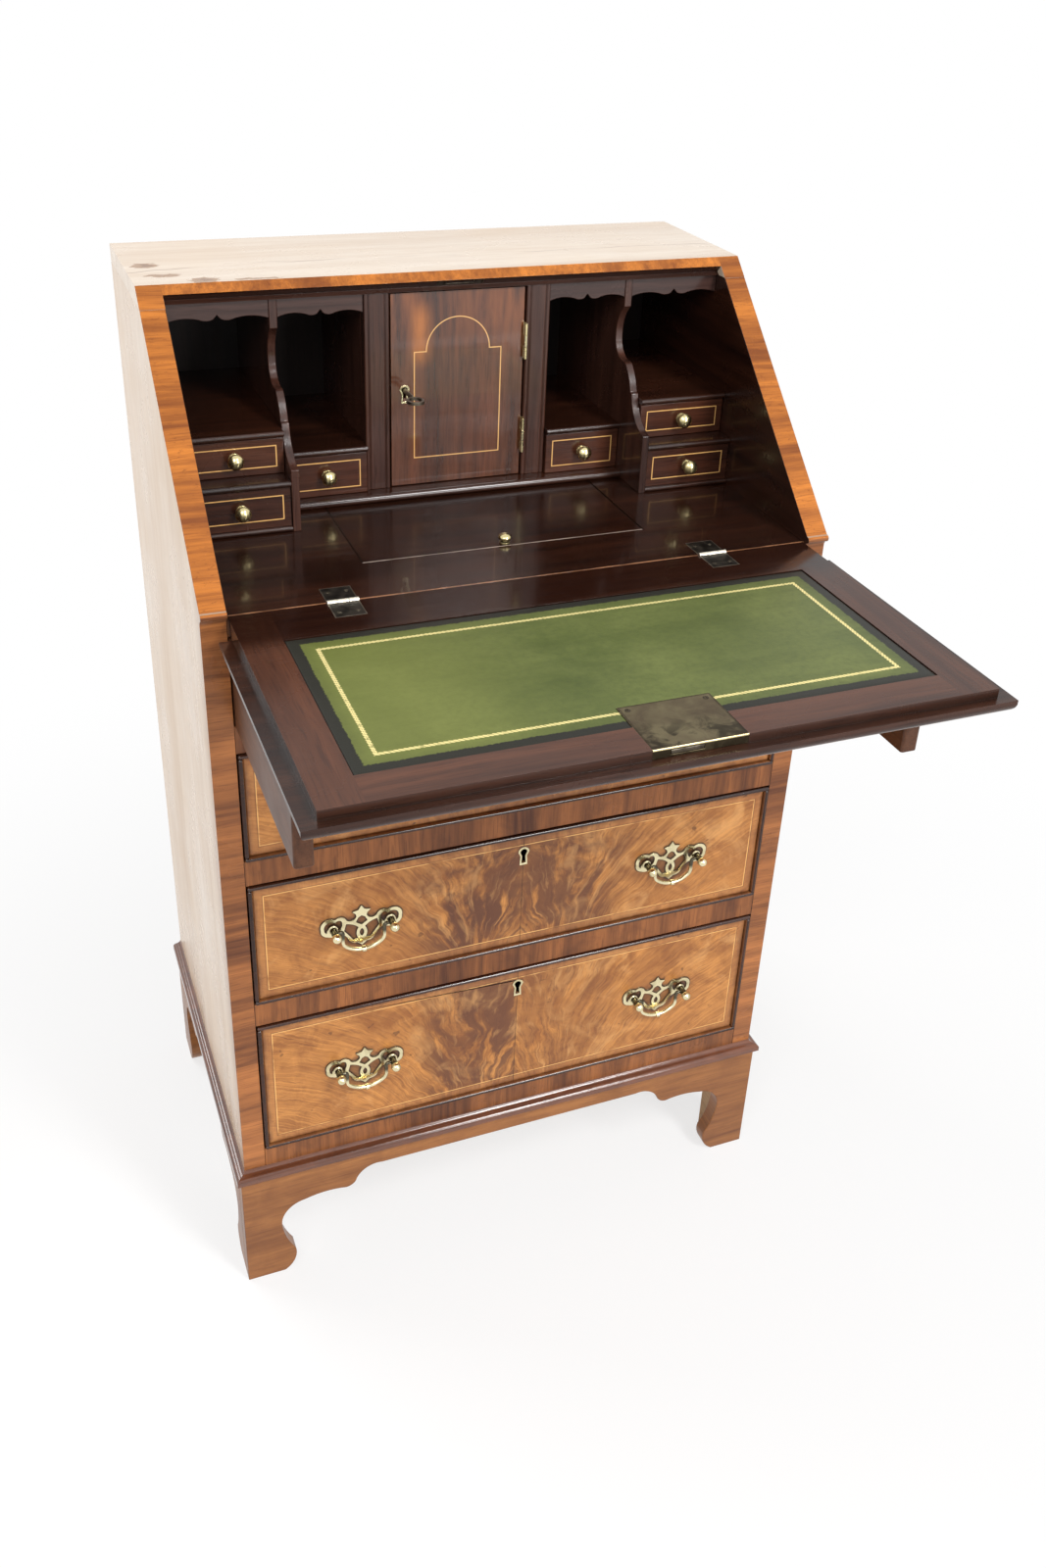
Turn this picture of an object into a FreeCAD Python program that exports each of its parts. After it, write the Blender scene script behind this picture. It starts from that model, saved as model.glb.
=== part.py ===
import FreeCAD, Part
import os
import re
import Sketcher

# A small walnut slope-front bureau: the fall open on its two lopers, three long
# drawers below, and a fitted gallery of pigeonholes and small drawers inside.
# X runs to the right, Y from the front to the back, Z up. The origin is on the floor
# under the middle of the open desk. Depths are measured from the carcass front.

# Driving sizes, in millimetres, and the slope in degrees above level.
SIZES = {
    # Carcass
    "carcass_width": 560,
    "carcass_depth": 370,
    "side_thickness": 21,
    "top_thickness": 16,
    "back_thickness": 8,
    "bottom_thickness": 14,
    "plinth_height": 140,
    "bottom_rail": 34,
    "drawer_three": 157.5,
    "drawer_two": 134,
    "drawer_one": 109,
    "rail_height": 26,
    "rail_depth": 40,
    "runner_width": 45,
    "runner_thickness": 16,
    "loper_opening": 81.5,
    "bed_thickness": 18,
    "gallery_height": 189,
    "slope_angle": 43,
    "hinge_setback": 1.5,
    "frieze_setback": 2.5,
    "frieze_thickness": 17,
    "nose_start": 1.5,
    "nose_reach": 3.6,
    "nose_drop": 5.8,
    "cavetto_drop": 6,
    # Base moulding and bracket plinth
    "moulding_height": 12,
    "moulding_proud": 9,
    "plinth_proud": 5,
    "plinth_thickness": 16,
    "apron_height": 21,
    "foot_width": 38,
    "foot_block": 20,
    "rear_bracket": 75,
    # Fall
    "fall_thickness": 18,
    "fall_rebate": 7.6,
    "fall_seat": 0.3,
    "fall_clearance": 1.2,
    "hinge_gap": 0.4,
    "top_band": 10.2,
    "lip_side": 12.5,
    "lip_front": 8.5,
    "lip_start": 27,
    "lip_round": 7.5,
    "leather_margin": 32,
    "leather_back": 52,
    "leather_thickness": 1,
    "leather_sunk": 0.6,
    # Lock of the fall
    "lock_width": 74,
    "lock_length": 60,
    "lock_offset": 10,
    "lock_plate": 1.2,
    "lock_depth": 8,
    "lock_border": 6,
    "selvedge_height": 7.6,
    "bolt_width": 25,
    "bolt_length": 30,
    "bolt_thickness": 3,
    "bolt_sunk": 2.4,
    "bolt_throw": 6,
    "strike_width": 44,
    "strike_thickness": 1,
    "keyhole_radius": 2.2,
    "keyhole_reach": 22,
    # Hinges of the fall
    "hinge_inset": 114,
    "hinge_width": 26,
    "hinge_leaf": 27,
    "hinge_plate": 1.2,
    "barrel_radius": 2.4,
    "pin_radius": 1.1,
    "middle_barrel": 9.4,
    # Lopers
    "loper_thickness": 15,
    "loper_gap": 1,
    "loper_out": 203,
    "loper_rear_gap": 22,
    "loper_round": 2.5,
    "partition_thickness": 10,
    # Well and its sliding cover
    "cover_half": 131,
    "cover_thickness": 9.7,
    "cover_front": 68,
    "cover_tuck": 9,
    "cover_tongue": 5.5,
    "tongue_height": 3,
    "tongue_drop": 3,
    "cover_gap": 0.4,
    "cover_knob_radius": 6.2,
    "cover_knob_reach": 8.6,
    "cover_knob_inset": 8.5,
    "bed_back_rail": 50,
    "well_wall": 8,
    "well_floor": 6,
    "well_clear": 8,
    # Running clearances of the drawers
    "side_gap": 0.8,
    "run_gap": 0.2,
    # Long drawers
    "front_sunk": 1,
    "front_thickness": 20,
    "bead_width": 4,
    "bead_proud": 3.5,
    "drawer_side": 9,
    "drawer_bottom": 6,
    "drawer_bottom_rise": 5,
    "drawer_side_drop": 12,
    "drawer_rear_gap": 14,
    # Brasses of the long drawers
    "handle_inset": 123,
    "handle_rise": 1.5,
    "plate_thickness": 1.2,
    "post_place": 27,
    "post_radius": 3.2,
    "post_ball": 4.6,
    "post_reach": 14.5,
    "bail_reach": 6.5,
    "bail_radius": 1.8,
    "bail_drop": 24,
    "bail_arm": 19.5,
    "bail_sweep": 26,
    "bail_round": 8,
    "bail_neck": 2.6,
    "bail_pin": 1.5,
    "pin_depth": 2.5,
    "knop_radius": 2.9,
    "knop_length": 3.4,
    "escutcheon_drop": 22,
    "escutcheon_radius": 5.5,
    "drawer_lock_width": 48,
    "drawer_lock_height": 30,
    "drawer_lock_depth": 8,
    # Gallery
    "door_setback": 4.8,
    "stack_forward": 57,
    "upper_forward": 37,
    "single_forward": 6,
    "base_forward": 18,
    "nosing_forward": 3,
    "pilaster_forward": 2,
    "base_thickness": 8,
    "stack_base": 5,
    "shelf_thickness": 5.5,
    "lower_drawer": 36,
    "upper_drawer": 33,
    "single_drawer": 39.5,
    "divider_place": 164,
    "divider_thickness": 7,
    "divider_ledge": 3,
    "cupboard_board": 7,
    "pilaster_inner": 65,
    "pilaster_width": 23,
    "pilaster_thickness": 12,
    "reed": 1.6,
    "valance_drop": 17,
    "valance_thickness": 5,
    # Small drawers
    "small_gap": 0.5,
    "small_front": 8,
    "small_board": 4,
    "small_bottom": 3,
    "small_rear_gap": 6,
    "knob_radius": 7.3,
    "knob_reach": 13,
    # Prospect door, its lock and key
    "door_gap": 1.7,
    "door_thickness": 12,
    "door_foot_gap": 0.8,
    "door_head_gap": 1.5,
    "door_hinge_height": 33,
    "hinge_foot_inset": 23.2,
    "hinge_head_inset": 32.5,
    "door_leaf": 0.7,
    "door_leaf_depth": 12,
    "door_barrel": 1.8,
    "key_inset": 12.5,
    "key_height": 92,
    "key_plate_radius": 4.7,
    "key_radius": 2,
    "key_reach": 24,
    "bow_length": 18,
    "bow_width": 16,
    "bow_rod": 1.6,
    "bit_length": 5.5,
    "door_lock_half": 18,
    "door_bolt_height": 8,
    "door_bolt_thickness": 2.5,
    "door_bolt_throw": 5,
    "door_bolt_back": 4.7,
    "mortise_gap": 1,
    # Working play round bolts, tongues, pins and barrels
    "play": 0.3,
    "loose_play": 0.5,
}

# Places that follow from the sizes. Each may use the ones above it.
LAYOUT = {
    "half": "carcass_width / 2",
    "inner": "half - side_thickness",
    "rear": "carcass_depth - back_thickness",
    "slope_sine": "sin(slope_angle)",
    "slope_cosine": "cos(slope_angle)",
    # Levels, from the floor up
    "three_foot": "plinth_height + bottom_rail",
    "three_head": "three_foot + drawer_three",
    "two_foot": "three_head + rail_height",
    "two_head": "two_foot + drawer_two",
    "one_foot": "two_head + rail_height",
    "one_head": "one_foot + drawer_one",
    "loper_foot": "one_head + rail_height",
    "bed_under": "loper_foot + loper_opening",
    "bed_level": "bed_under + bed_thickness",
    "top_under": "bed_level + gallery_height",
    "carcass_height": "top_under + top_thickness",
    # The slope: distance runs up it from the hinge, depth stands off its inner face
    "slope_seat": "fall_rebate - fall_seat",
    "arris": "(carcass_height - bed_level - slope_seat * slope_cosine) / slope_sine",
    "rebate_end": "arris - top_band",
    "tongue": "rebate_end - fall_clearance",
    "tongue_half": "inner - fall_clearance",
    # The open fall reaches ahead of the carcass, and the origin is under the middle of both
    "fall_reach": "tongue + lip_front - hinge_setback",
    "front": "(fall_reach - carcass_depth) / 2",
    "nose_y": "hinge_setback - slope_seat * slope_sine + nose_start * slope_cosine",
    "nose_z": "bed_level + slope_seat * slope_cosine + nose_start * slope_sine",
    "nose_foot": "nose_z - nose_drop",
    # Loper passages
    "passage": "loper_thickness + 2 * loper_gap",
    "passage_inner": "inner - passage",
    "hinge_place": "half - hinge_inset",
    "handle_place": "half - handle_inset",
    # Bails: how far the lower curve turns before its shoulder, and where that ends
    "bail_turn": "asin((bail_arm - bail_round) / (bail_sweep - bail_round)) / 1 deg",
    "bail_shoulder": "-bail_drop + bail_sweep - (bail_sweep - bail_round) * cos(bail_turn)",
    # Gallery fronts
    "door_front": "hinge_setback + gallery_height * slope_cosine / slope_sine + door_setback",
    "stack_front": "door_front - stack_forward",
    "upper_front": "door_front - upper_forward",
    "single_front": "door_front - single_forward",
    "base_front": "door_front - base_forward",
    "pilaster_front": "door_front - pilaster_forward",
    "pilaster_outer": "pilaster_inner + pilaster_width",
    "cupboard_half": "pilaster_outer - cupboard_board",
    "divider_outer": "divider_place + divider_thickness",
    # Gallery levels
    "base_top": "bed_level + base_thickness",
    "stack_floor": "bed_level + stack_base",
    "lower_shelf": "stack_floor + lower_drawer",
    "upper_floor": "lower_shelf + shelf_thickness",
    "upper_shelf": "upper_floor + upper_drawer",
    "single_shelf": "base_top + single_drawer",
    # Well
    "cover_rear": "base_front + cover_tuck",
    "opening_half": "cover_half + cover_gap",
    "opening_rear": "rear - bed_back_rail",
    "well_foot": "loper_foot + well_clear",
    # Door
    "door_half": "pilaster_inner - door_gap",
    "door_foot": "base_top + door_foot_gap",
    "door_head": "top_under - door_head_gap",
    "door_axis_x": "pilaster_inner - door_gap / 2",
    "door_axis_y": "pilaster_front - door_barrel - play",
    "door_hinge_low": "door_foot + hinge_foot_inset",
    "door_hinge_high": "door_head - hinge_head_inset - door_hinge_height",
    "key_x": "-door_half + key_inset",
    "key_z": "base_top + key_height",
}

doc = FreeCAD.newDocument("bureau")
sizes = doc.addObject("Spreadsheet::Sheet", "Sizes")
for row, (name, size) in enumerate(SIZES.items(), start=1):
    sizes.set("A%d" % row, name)
    sizes.set("B%d" % row, str(size))
    sizes.setAlias("B%d" % row, name)
layout = doc.addObject("Spreadsheet::Sheet", "Layout")


def bound(formula):
    """A formula in plain names, with each name pointed at its cell."""
    def cell(match):
        name = match.group(0)
        if name in SIZES:
            return "Sizes." + name
        if name in LAYOUT:
            return "Layout." + name
        return name
    return re.sub(r"[a-z][a-z_]*", cell, str(formula))


for row, (name, formula) in enumerate(LAYOUT.items(), start=1):
    layout.set("A%d" % row, name)
    layout.set("B%d" % row, "=" + bound(formula))
    layout.setAlias("B%d" % row, name)
spare = doc.addObject("Spreadsheet::Sheet", "Spare")
known = {}
doc.recompute()


def value(formula):
    """The present number of a formula, read off a spare cell."""
    text = bound(formula)
    if text not in known:
        spare.set("A1", "=" + text)
        spare.recompute()
        known[text] = float(spare.get("A1"))
    return known[text]


def bind(item, **formulas):
    for name, formula in formulas.items():
        item.setExpression(name.replace("__", "."), bound(formula))


def place(item, x, y, z):
    bind(item, Placement__Base__x=x, Placement__Base__y="front + " + str(y), Placement__Base__z=z)


def box(x, y, z, length, width, height):
    """A board from its low corner; y is the depth behind the carcass front."""
    piece = doc.addObject("Part::Box", "board")
    bind(piece, Length=length, Width=width, Height=height)
    place(piece, x, y, z)
    return piece


def span(x_low, x_high, y_low, y_high, z_low, z_high):
    """A board between two corners."""
    return box(
        x_low,
        y_low,
        z_low,
        "(%s) - (%s)" % (x_high, x_low),
        "(%s) - (%s)" % (y_high, y_low),
        "(%s) - (%s)" % (z_high, z_low),
    )


def rod(axis, x, y, z, radius, length):
    """A cylinder from one end, along X or Y."""
    piece = doc.addObject("Part::Cylinder", "rod")
    bind(piece, Radius=radius, Height=length)
    turn = {"X": FreeCAD.Rotation(FreeCAD.Vector(0, 1, 0), 90),
            "Y": FreeCAD.Rotation(FreeCAD.Vector(1, 0, 0), -90),
            "Z": FreeCAD.Rotation()}
    piece.Placement = FreeCAD.Placement(FreeCAD.Vector(), turn[axis])
    place(piece, x, y, z)
    return piece


def fuse(*pieces):
    whole = doc.addObject("Part::MultiFuse", "joined")
    whole.Shapes = list(pieces)
    whole.Refine = True
    return whole


def cut(base, *tools):
    tool = tools[0] if len(tools) == 1 else fuse(*tools)
    rest = doc.addObject("Part::Cut", "cut")
    rest.Base = base
    rest.Tool = tool
    return rest


def common(first, second):
    shared = doc.addObject("Part::Common", "shared")
    shared.Base = first
    shared.Tool = second
    return shared


def new_body(name):
    return doc.addObject("PartDesign::Body", name)


def plane_of(body, role):
    return [plane for plane in body.Origin.OriginFeatures if plane.Role == role][0]


def bind_point(sketch, geometry, end, point):
    for kind, formula in zip(("DistanceX", "DistanceY"), point):
        rule = Sketcher.Constraint(kind, geometry, end, value(formula))
        number = sketch.addConstraint(rule)
        sketch.setExpression("Constraints[%d]" % number, bound(formula))


def spot(point):
    return FreeCAD.Vector(value(point[0]), value(point[1]), 0)


def draw(sketch, points, closed=True):
    """Lines and arcs through formula points; a third entry marks a point inside an arc."""
    corners = [number for number, point in enumerate(points) if len(point) == 2]
    runs = list(zip(corners, corners[1:]))
    if closed:
        runs.append((corners[-1], corners[0] + len(points)))
    rules = []
    formulas = {}

    def pin(item, end, point):
        for kind, formula in zip(("DistanceX", "DistanceY"), point):
            formulas[sketch.ConstraintCount + len(rules)] = formula
            rules.append(Sketcher.Constraint(kind, item, end, value(formula)))

    ends = []
    for first, last in runs:
        start = spot(points[first])
        finish = spot(points[last % len(points)])
        if last - first == 1:
            line = sketch.addGeometry(Part.LineSegment(start, finish), False)
            ends.append((line, 1, 2))
            continue
        through = spot(points[first + 1])
        backward = (through - start).cross(finish - through).z < 0
        if backward:
            start, finish = finish, start
        curve = sketch.addGeometry(Part.Arc(start, through, finish), False)
        mark = sketch.addGeometry(Part.Point(through), True)
        pin(mark, 1, points[first + 1])
        rules.append(Sketcher.Constraint("PointOnObject", mark, 1, curve))
        ends.append((curve, 2, 1) if backward else (curve, 1, 2))
    for (first, last), (item, start, finish) in zip(runs, ends):
        pin(item, start, points[first])
    followers = ends[1:] + ends[:1] if closed else ends[1:]
    for (item, start, finish), (after, after_start, after_finish) in zip(ends, followers):
        rules.append(Sketcher.Constraint("Coincident", item, finish, after, after_start))
    if not closed:
        pin(ends[-1][0], ends[-1][2], points[corners[-1]])
    sketch.addConstraint(rules)
    for number, formula in formulas.items():
        sketch.setExpression("Constraints[%d]" % number, bound(formula))


def outline(body, role, *loops, closed=True):
    sketch = body.newObject("Sketcher::SketchObject", "outline")
    sketch.AttachmentSupport = (plane_of(body, role), [""])
    sketch.MapMode = "FlatFace"
    for points in loops:
        draw(sketch, points, closed)
    return sketch


def pad(body, sketch, length, reverse=False, both=False):
    feature = body.newObject("PartDesign::Pad", "pad")
    feature.Profile = sketch
    feature.Reversed = reverse
    feature.Midplane = both
    bind(feature, Length=length)
    return feature


def pocket(body, sketch, length, both=False, reverse=False):
    feature = body.newObject("PartDesign::Pocket", "pocket")
    feature.Profile = sketch
    feature.Midplane = both
    feature.Reversed = reverse
    bind(feature, Length=length)
    return feature


def extrude(role, points, length, x=0, y=0, z=0, holes=(), both=False):
    """A board cut to an outline. On XZ it grows towards the back, on YZ to the right."""
    body = new_body("profile")
    sketch = outline(body, role, points, *holes)
    pad(body, sketch, length, reverse=role == "XZ_Plane", both=both)
    place(body, x, y, z)
    return body


def turned(points, x, y, z):
    """A turning about the Y axis, from (depth, radius) points along its profile."""
    body = new_body("turning")
    sketch = outline(body, "YZ_Plane", points)
    feature = body.newObject("PartDesign::Revolution", "revolution")
    feature.Profile = sketch
    feature.ReferenceAxis = (sketch, ["H_Axis"])
    feature.Angle = 360
    place(body, x, y, z)
    return body


def standing(piece):
    """Turns a Y-axis turning upright, its front end up."""
    piece.Placement.Rotation = FreeCAD.Rotation(FreeCAD.Vector(1, 0, 0), -90)
    return piece


def up_slope(distance, depth):
    """The (depth, height) of a point up the slope and off the closed fall's inner face."""
    y = "hinge_setback + (%s) * slope_cosine - (%s) * slope_sine" % (distance, depth)
    z = "bed_level + (%s) * slope_sine + (%s) * slope_cosine" % (distance, depth)
    return y, z


nodes = []


def node(label, *pieces):
    """One named sub-part: a single piece, or a group of separate ones."""
    if len(pieces) == 1:
        whole = pieces[0]
    else:
        whole = doc.addObject("Part::Compound", label)
        whole.Links = list(pieces)
    whole.Label = label
    nodes.append(whole)


SIDES = (("left", -1), ("right", 1))


def at_side(sign, near, far):
    """The low and high X of a board between two distances from the middle."""
    if sign > 0:
        return near, far
    return "-(%s)" % far, "-(%s)" % near


# Carcass sides: a sloped edge ending in a small nose with a hollow under it
def carcass_sides():
    head_y = "hinge_setback - slope_seat * slope_sine" \
        " + (top_under - bed_level - slope_seat * slope_cosine) / slope_sine * slope_cosine"
    profile = [
        ("0", "plinth_height"),
        ("carcass_depth", "plinth_height"),
        ("carcass_depth", "top_under"),
        (head_y, "top_under"),
        ("nose_y", "nose_z"),
        ("nose_y - nose_reach", "nose_z - nose_drop * 0.45", "arc"),
        ("nose_y - nose_reach * 0.6", "nose_foot"),
        ("(nose_y - nose_reach * 0.6) * 0.3", "nose_foot - cavetto_drop * 0.3", "arc"),
        ("0", "nose_foot - cavetto_drop"),
    ]
    node("side_left", extrude("YZ_Plane", profile, "side_thickness", x="-half"))
    node("side_right", extrude("YZ_Plane", profile, "side_thickness", x="inner"))


# Top board: bevelled to the slope, rebated for the fall's head and mortised for its bolt
def top_board():
    body = new_body("top")
    head = up_slope("arris", "slope_seat")
    foot_distance = "arris - top_thickness / slope_sine"
    foot = up_slope(foot_distance, "slope_seat")
    profile = [
        (head[0], "carcass_height"),
        (foot[0], "top_under"),
        ("carcass_depth", "top_under"),
        ("carcass_depth", "carcass_height"),
    ]
    pad(body, outline(body, "YZ_Plane", profile), "carcass_width", both=True)
    rebate = [
        up_slope("rebate_end", "slope_seat + 5"),
        up_slope("rebate_end", "-1"),
        up_slope("rebate_end - top_thickness", "-1"),
        up_slope("rebate_end - top_thickness", "slope_seat + 5"),
    ]
    pocket(body, outline(body, "YZ_Plane", rebate), "inner * 2", both=True)
    strike_seat = [
        up_slope("rebate_end + strike_thickness", "fall_seat"),
        up_slope("rebate_end + strike_thickness", "slope_seat - fall_seat"),
        up_slope("rebate_end - 1", "slope_seat - fall_seat"),
        up_slope("rebate_end - 1", "fall_seat"),
    ]
    pocket(body, outline(body, "YZ_Plane", strike_seat), "strike_width", both=True)
    mortise = [
        up_slope("rebate_end + bolt_throw + loose_play", "bolt_sunk - play"),
        up_slope("rebate_end + bolt_throw + loose_play", "bolt_sunk + bolt_thickness + play"),
        up_slope("rebate_end", "bolt_sunk + bolt_thickness + play"),
        up_slope("rebate_end", "bolt_sunk - play"),
    ]
    pocket(body, outline(body, "YZ_Plane", mortise), "bolt_width + 2", both=True)
    place(body, 0, 0, 0)
    node("top_board", body)


def strike_plate():
    body = new_body("strike")
    plate = [
        up_slope("rebate_end + strike_thickness", "fall_seat"),
        up_slope("rebate_end + strike_thickness", "slope_seat - fall_seat"),
        up_slope("rebate_end", "slope_seat - fall_seat"),
        up_slope("rebate_end", "fall_seat"),
    ]
    pad(body, outline(body, "YZ_Plane", plate), "strike_width", both=True)
    slot = [
        up_slope("rebate_end + strike_thickness + 1", "bolt_sunk - play"),
        up_slope("rebate_end + strike_thickness + 1", "bolt_sunk + bolt_thickness + play"),
        up_slope("rebate_end - 1", "bolt_sunk + bolt_thickness + play"),
        up_slope("rebate_end - 1", "bolt_sunk - play"),
    ]
    pocket(body, outline(body, "YZ_Plane", slot), "bolt_width + 2", both=True)
    place(body, 0, 0, 0)
    node("fall_strike_plate", body)


def carcass_boards():
    third = "inner * 2 / 3"
    backs = []
    for number in range(3):
        low = "-inner + %d * %s" % (number, third)
        backs.append(box(
            low,
            "rear",
            "plinth_height",
            third,
            "back_thickness",
            "top_under - plinth_height",
        ))
    node("back_boards", *backs)
    bottom_foot = "three_foot - bottom_thickness"
    node("bottom_board", span("-inner", "inner", "rail_depth", "rear", bottom_foot, "three_foot"))
    rails = [span("-inner", "inner", 0, "rail_depth", "plinth_height", "three_foot")]
    for head in ("two_foot", "one_foot", "loper_foot"):
        rails.append(span("-inner", "inner", 0, "rail_depth", head + " - rail_height", head))
    frieze_rear = "frieze_setback + frieze_thickness"
    rails.append(span(
        "-passage_inner",
        "passage_inner",
        "frieze_setback",
        frieze_rear,
        "loper_foot",
        "bed_under",
    ))
    node("front_rails", *rails)
    framing = []
    for sign in (-1, 1):
        for head in ("two_foot", "one_foot", "loper_foot"):
            low, high = at_side(sign, "inner - runner_width", "inner")
            framing.append(span(low, high, "rail_depth", "rear", head + " - runner_thickness", head))
        low, high = at_side(sign, "passage_inner - partition_thickness", "passage_inner")
        framing.append(span(low, high, frieze_rear, "rear", "loper_foot", "bed_under"))
    node("carcass_framing", *framing)


# Writing bed: a board with the well's opening, grooves for the cover and seats for the hinges
def writing_bed():
    front_edge = "hinge_setback + hinge_gap"
    board = span("-inner", "inner", front_edge, "rear", "bed_under", "bed_level")
    groove_half = "opening_half + cover_tongue"
    groove_foot = "bed_level - cover_gap - tongue_drop - tongue_height - play"
    groove_head = "bed_level - cover_gap - tongue_drop + play"
    tools = [
        span(
            "-opening_half",
            "opening_half",
            "cover_front",
            "opening_rear",
            "bed_under - 1",
            "bed_level + 1",
        ),
        span("-(%s)" % groove_half, groove_half, "cover_front", "opening_rear", groove_foot, groove_head),
    ]
    notch = "barrel_radius + loose_play"
    for sign in (-1, 1):
        low, high = at_side(sign, "hinge_place - hinge_width / 2", "hinge_place + hinge_width / 2")
        leaf_end = "hinge_setback + hinge_leaf"
        tools.append(span(low, high, 0, leaf_end, "bed_level - hinge_plate", "bed_level + 1"))
        wide_low = low + " - play"
        wide_high = high + " + play"
        tools.append(span(
            wide_low,
            wide_high,
            0,
            "hinge_setback + " + notch,
            "bed_level - (%s)" % notch,
            "bed_level + 1",
        ))
    node("writing_bed", cut(board, *tools))


def well():
    floor = "well_foot"
    side_foot = "well_foot + well_floor"
    outer = "opening_half + well_wall"
    walls = [span(
        "-(%s)" % outer,
        outer,
        "cover_front - well_wall",
        "cover_rear + well_wall",
        floor,
        side_foot,
    )]
    for sign in (-1, 1):
        low, high = at_side(sign, "opening_half", outer)
        walls.append(span(
            low,
            high,
            "cover_front - well_wall",
            "cover_rear + well_wall",
            side_foot,
            "bed_under",
        ))
    walls.append(span(
        "-opening_half",
        "opening_half",
        "cover_front - well_wall",
        "cover_front",
        side_foot,
        "bed_under",
    ))
    walls.append(span(
        "-opening_half",
        "opening_half",
        "cover_rear",
        "cover_rear + well_wall",
        side_foot,
        "bed_under",
    ))
    node("well_box", *walls)
    head = "bed_level - cover_gap"
    board = span(
        "-cover_half",
        "cover_half",
        "cover_front + cover_gap",
        "cover_rear",
        head + " - cover_thickness",
        head,
    )
    tongue_half = "cover_half + cover_tongue"
    tongue_head = head + " - tongue_drop"
    tongue_foot = tongue_head + " - tongue_height"
    tongue = span(
        "-(%s)" % tongue_half,
        tongue_half,
        "cover_front + cover_gap",
        "cover_rear",
        tongue_foot,
        tongue_head,
    )
    node("well_cover", fuse(board, tongue))
    knob = turned(
        knob_profile("cover_knob_radius", "cover_knob_reach"),
        0,
        "cover_front + cover_knob_inset",
        head,
    )
    node("well_cover_knob", standing(knob))


# Base moulding: an ogee in three mitred lengths
def base_moulding():
    proud = "moulding_proud"
    high = "moulding_height"
    ogee = [
        ("0", "0"),
        ("-%s" % proud, "0"),
        ("-%s" % proud, "%s * 0.2" % high),
        ("-%s * 0.93" % proud, "%s * 0.52" % high, "arc"),
        ("-%s * 0.55" % proud, "%s * 0.68" % high),
        ("-%s * 0.2" % proud, "%s * 0.78" % high, "arc"),
        ("0", "%s" % high),
    ]
    long_way = "carcass_width + 2 * moulding_proud"
    front_bar = extrude("YZ_Plane", ogee, long_way, x="-half - moulding_proud", z="plinth_height")
    front_plan = [
        ("-half - moulding_proud", "front - moulding_proud"),
        ("half + moulding_proud", "front - moulding_proud"),
        ("half", "front"),
        ("-half", "front"),
    ]
    pieces = [common(front_bar, plan_block(front_plan))]
    for name, sign in SIDES:
        side_ogee = []
        for point in ogee:
            side_ogee.append(("%d * (half - (%s))" % (sign, point[0]),) + tuple(point[1:]))
        bar = extrude(
            "XZ_Plane",
            side_ogee,
            "carcass_depth + moulding_proud",
            y="-moulding_proud",
            z="plinth_height",
        )
        side_plan = [
            ("%d * half" % sign, "front"),
            ("%d * half" % sign, "front + carcass_depth"),
            ("%d * (half + moulding_proud)" % sign, "front + carcass_depth"),
            ("%d * (half + moulding_proud)" % sign, "front - moulding_proud"),
        ]
        pieces.append(common(bar, plan_block(side_plan)))
    node("base_moulding", *pieces)


def plan_block(points):
    """A block over a plan outline, as high as the base moulding."""
    body = new_body("plan")
    pad(body, outline(body, "XY_Plane", points), "moulding_height")
    bind(body, Placement__Base__z="plinth_height")
    return body


# Bracket plinth: an apron between feet whose inner edge runs cyma, cusp, arch and bulge
SHAPE_FOOT = 38


def foot_edge(corner, sign):
    """The inner edge of a foot, from the apron down to the floor, off one corner."""
    shape = [
        (143, 119),
        (126, 116.5, "arc"),
        (116, 105.5),
        (112, 99, "arc"),
        (104.4, 96.4),
        (84, 98.5, "arc"),
        (62.3, 95.3),
        (44, 86, "arc"),
        (37.5, 68),
        (41.5, 47, "arc"),
        (50, 28.5),
        (48.5, 12, "arc"),
    ]
    edge = []
    for point in shape:
        along = "%s + %d * (foot_width + %g)" % (corner, sign, point[0] - SHAPE_FOOT)
        edge.append((along, "(plinth_height - apron_height) * %g / 119" % point[1]) + tuple(point[2:]))
    edge.append(("%s + %d * foot_width" % (corner, sign), "0"))
    return edge


def bracket_plinth():
    outer = "half + plinth_proud"
    right = foot_edge(outer, -1)
    left = [("-(%s)" % point[0],) + tuple(point[1:]) for point in reversed(right)]
    front_points = right + [(outer, "0"), (outer, "plinth_height")]
    front_points += [("-(%s)" % outer, "plinth_height"), ("-(%s)" % outer, "0")] + left
    pieces = [extrude("XZ_Plane", front_points, "plinth_thickness", y="-plinth_proud")]
    side_front = "plinth_thickness - plinth_proud"
    fore = foot_edge("-plinth_proud", 1)
    aft = foot_edge("carcass_depth", -1)
    side_points = list(fore) + [(side_front, "0"), (side_front, "plinth_height")]
    side_points += [("carcass_depth", "plinth_height"), ("carcass_depth", "0")] + list(reversed(aft))
    pieces.append(extrude("YZ_Plane", side_points, "plinth_thickness", x="-(%s)" % outer))
    pieces.append(extrude("YZ_Plane", side_points, "plinth_thickness", x="%s - plinth_thickness" % outer))
    inside = "half + plinth_proud - plinth_thickness"
    blocks = []
    for sign in (-1, 1):
        low, high = at_side(sign, inside + " - rear_bracket", inside)
        rear_face = "carcass_depth - plinth_thickness"
        pieces.append(span(low, high, rear_face, "carcass_depth", 0, "plinth_height"))
        low, high = at_side(sign, inside + " - foot_block", inside)
        blocks.append(span(low, high, side_front, side_front + " + foot_block", 2, "plinth_height"))
        blocks.append(span(low, high, rear_face + " - foot_block", rear_face, 2, "plinth_height"))
    node("bracket_plinth", *pieces)
    node("foot_blocks", *blocks)


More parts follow.
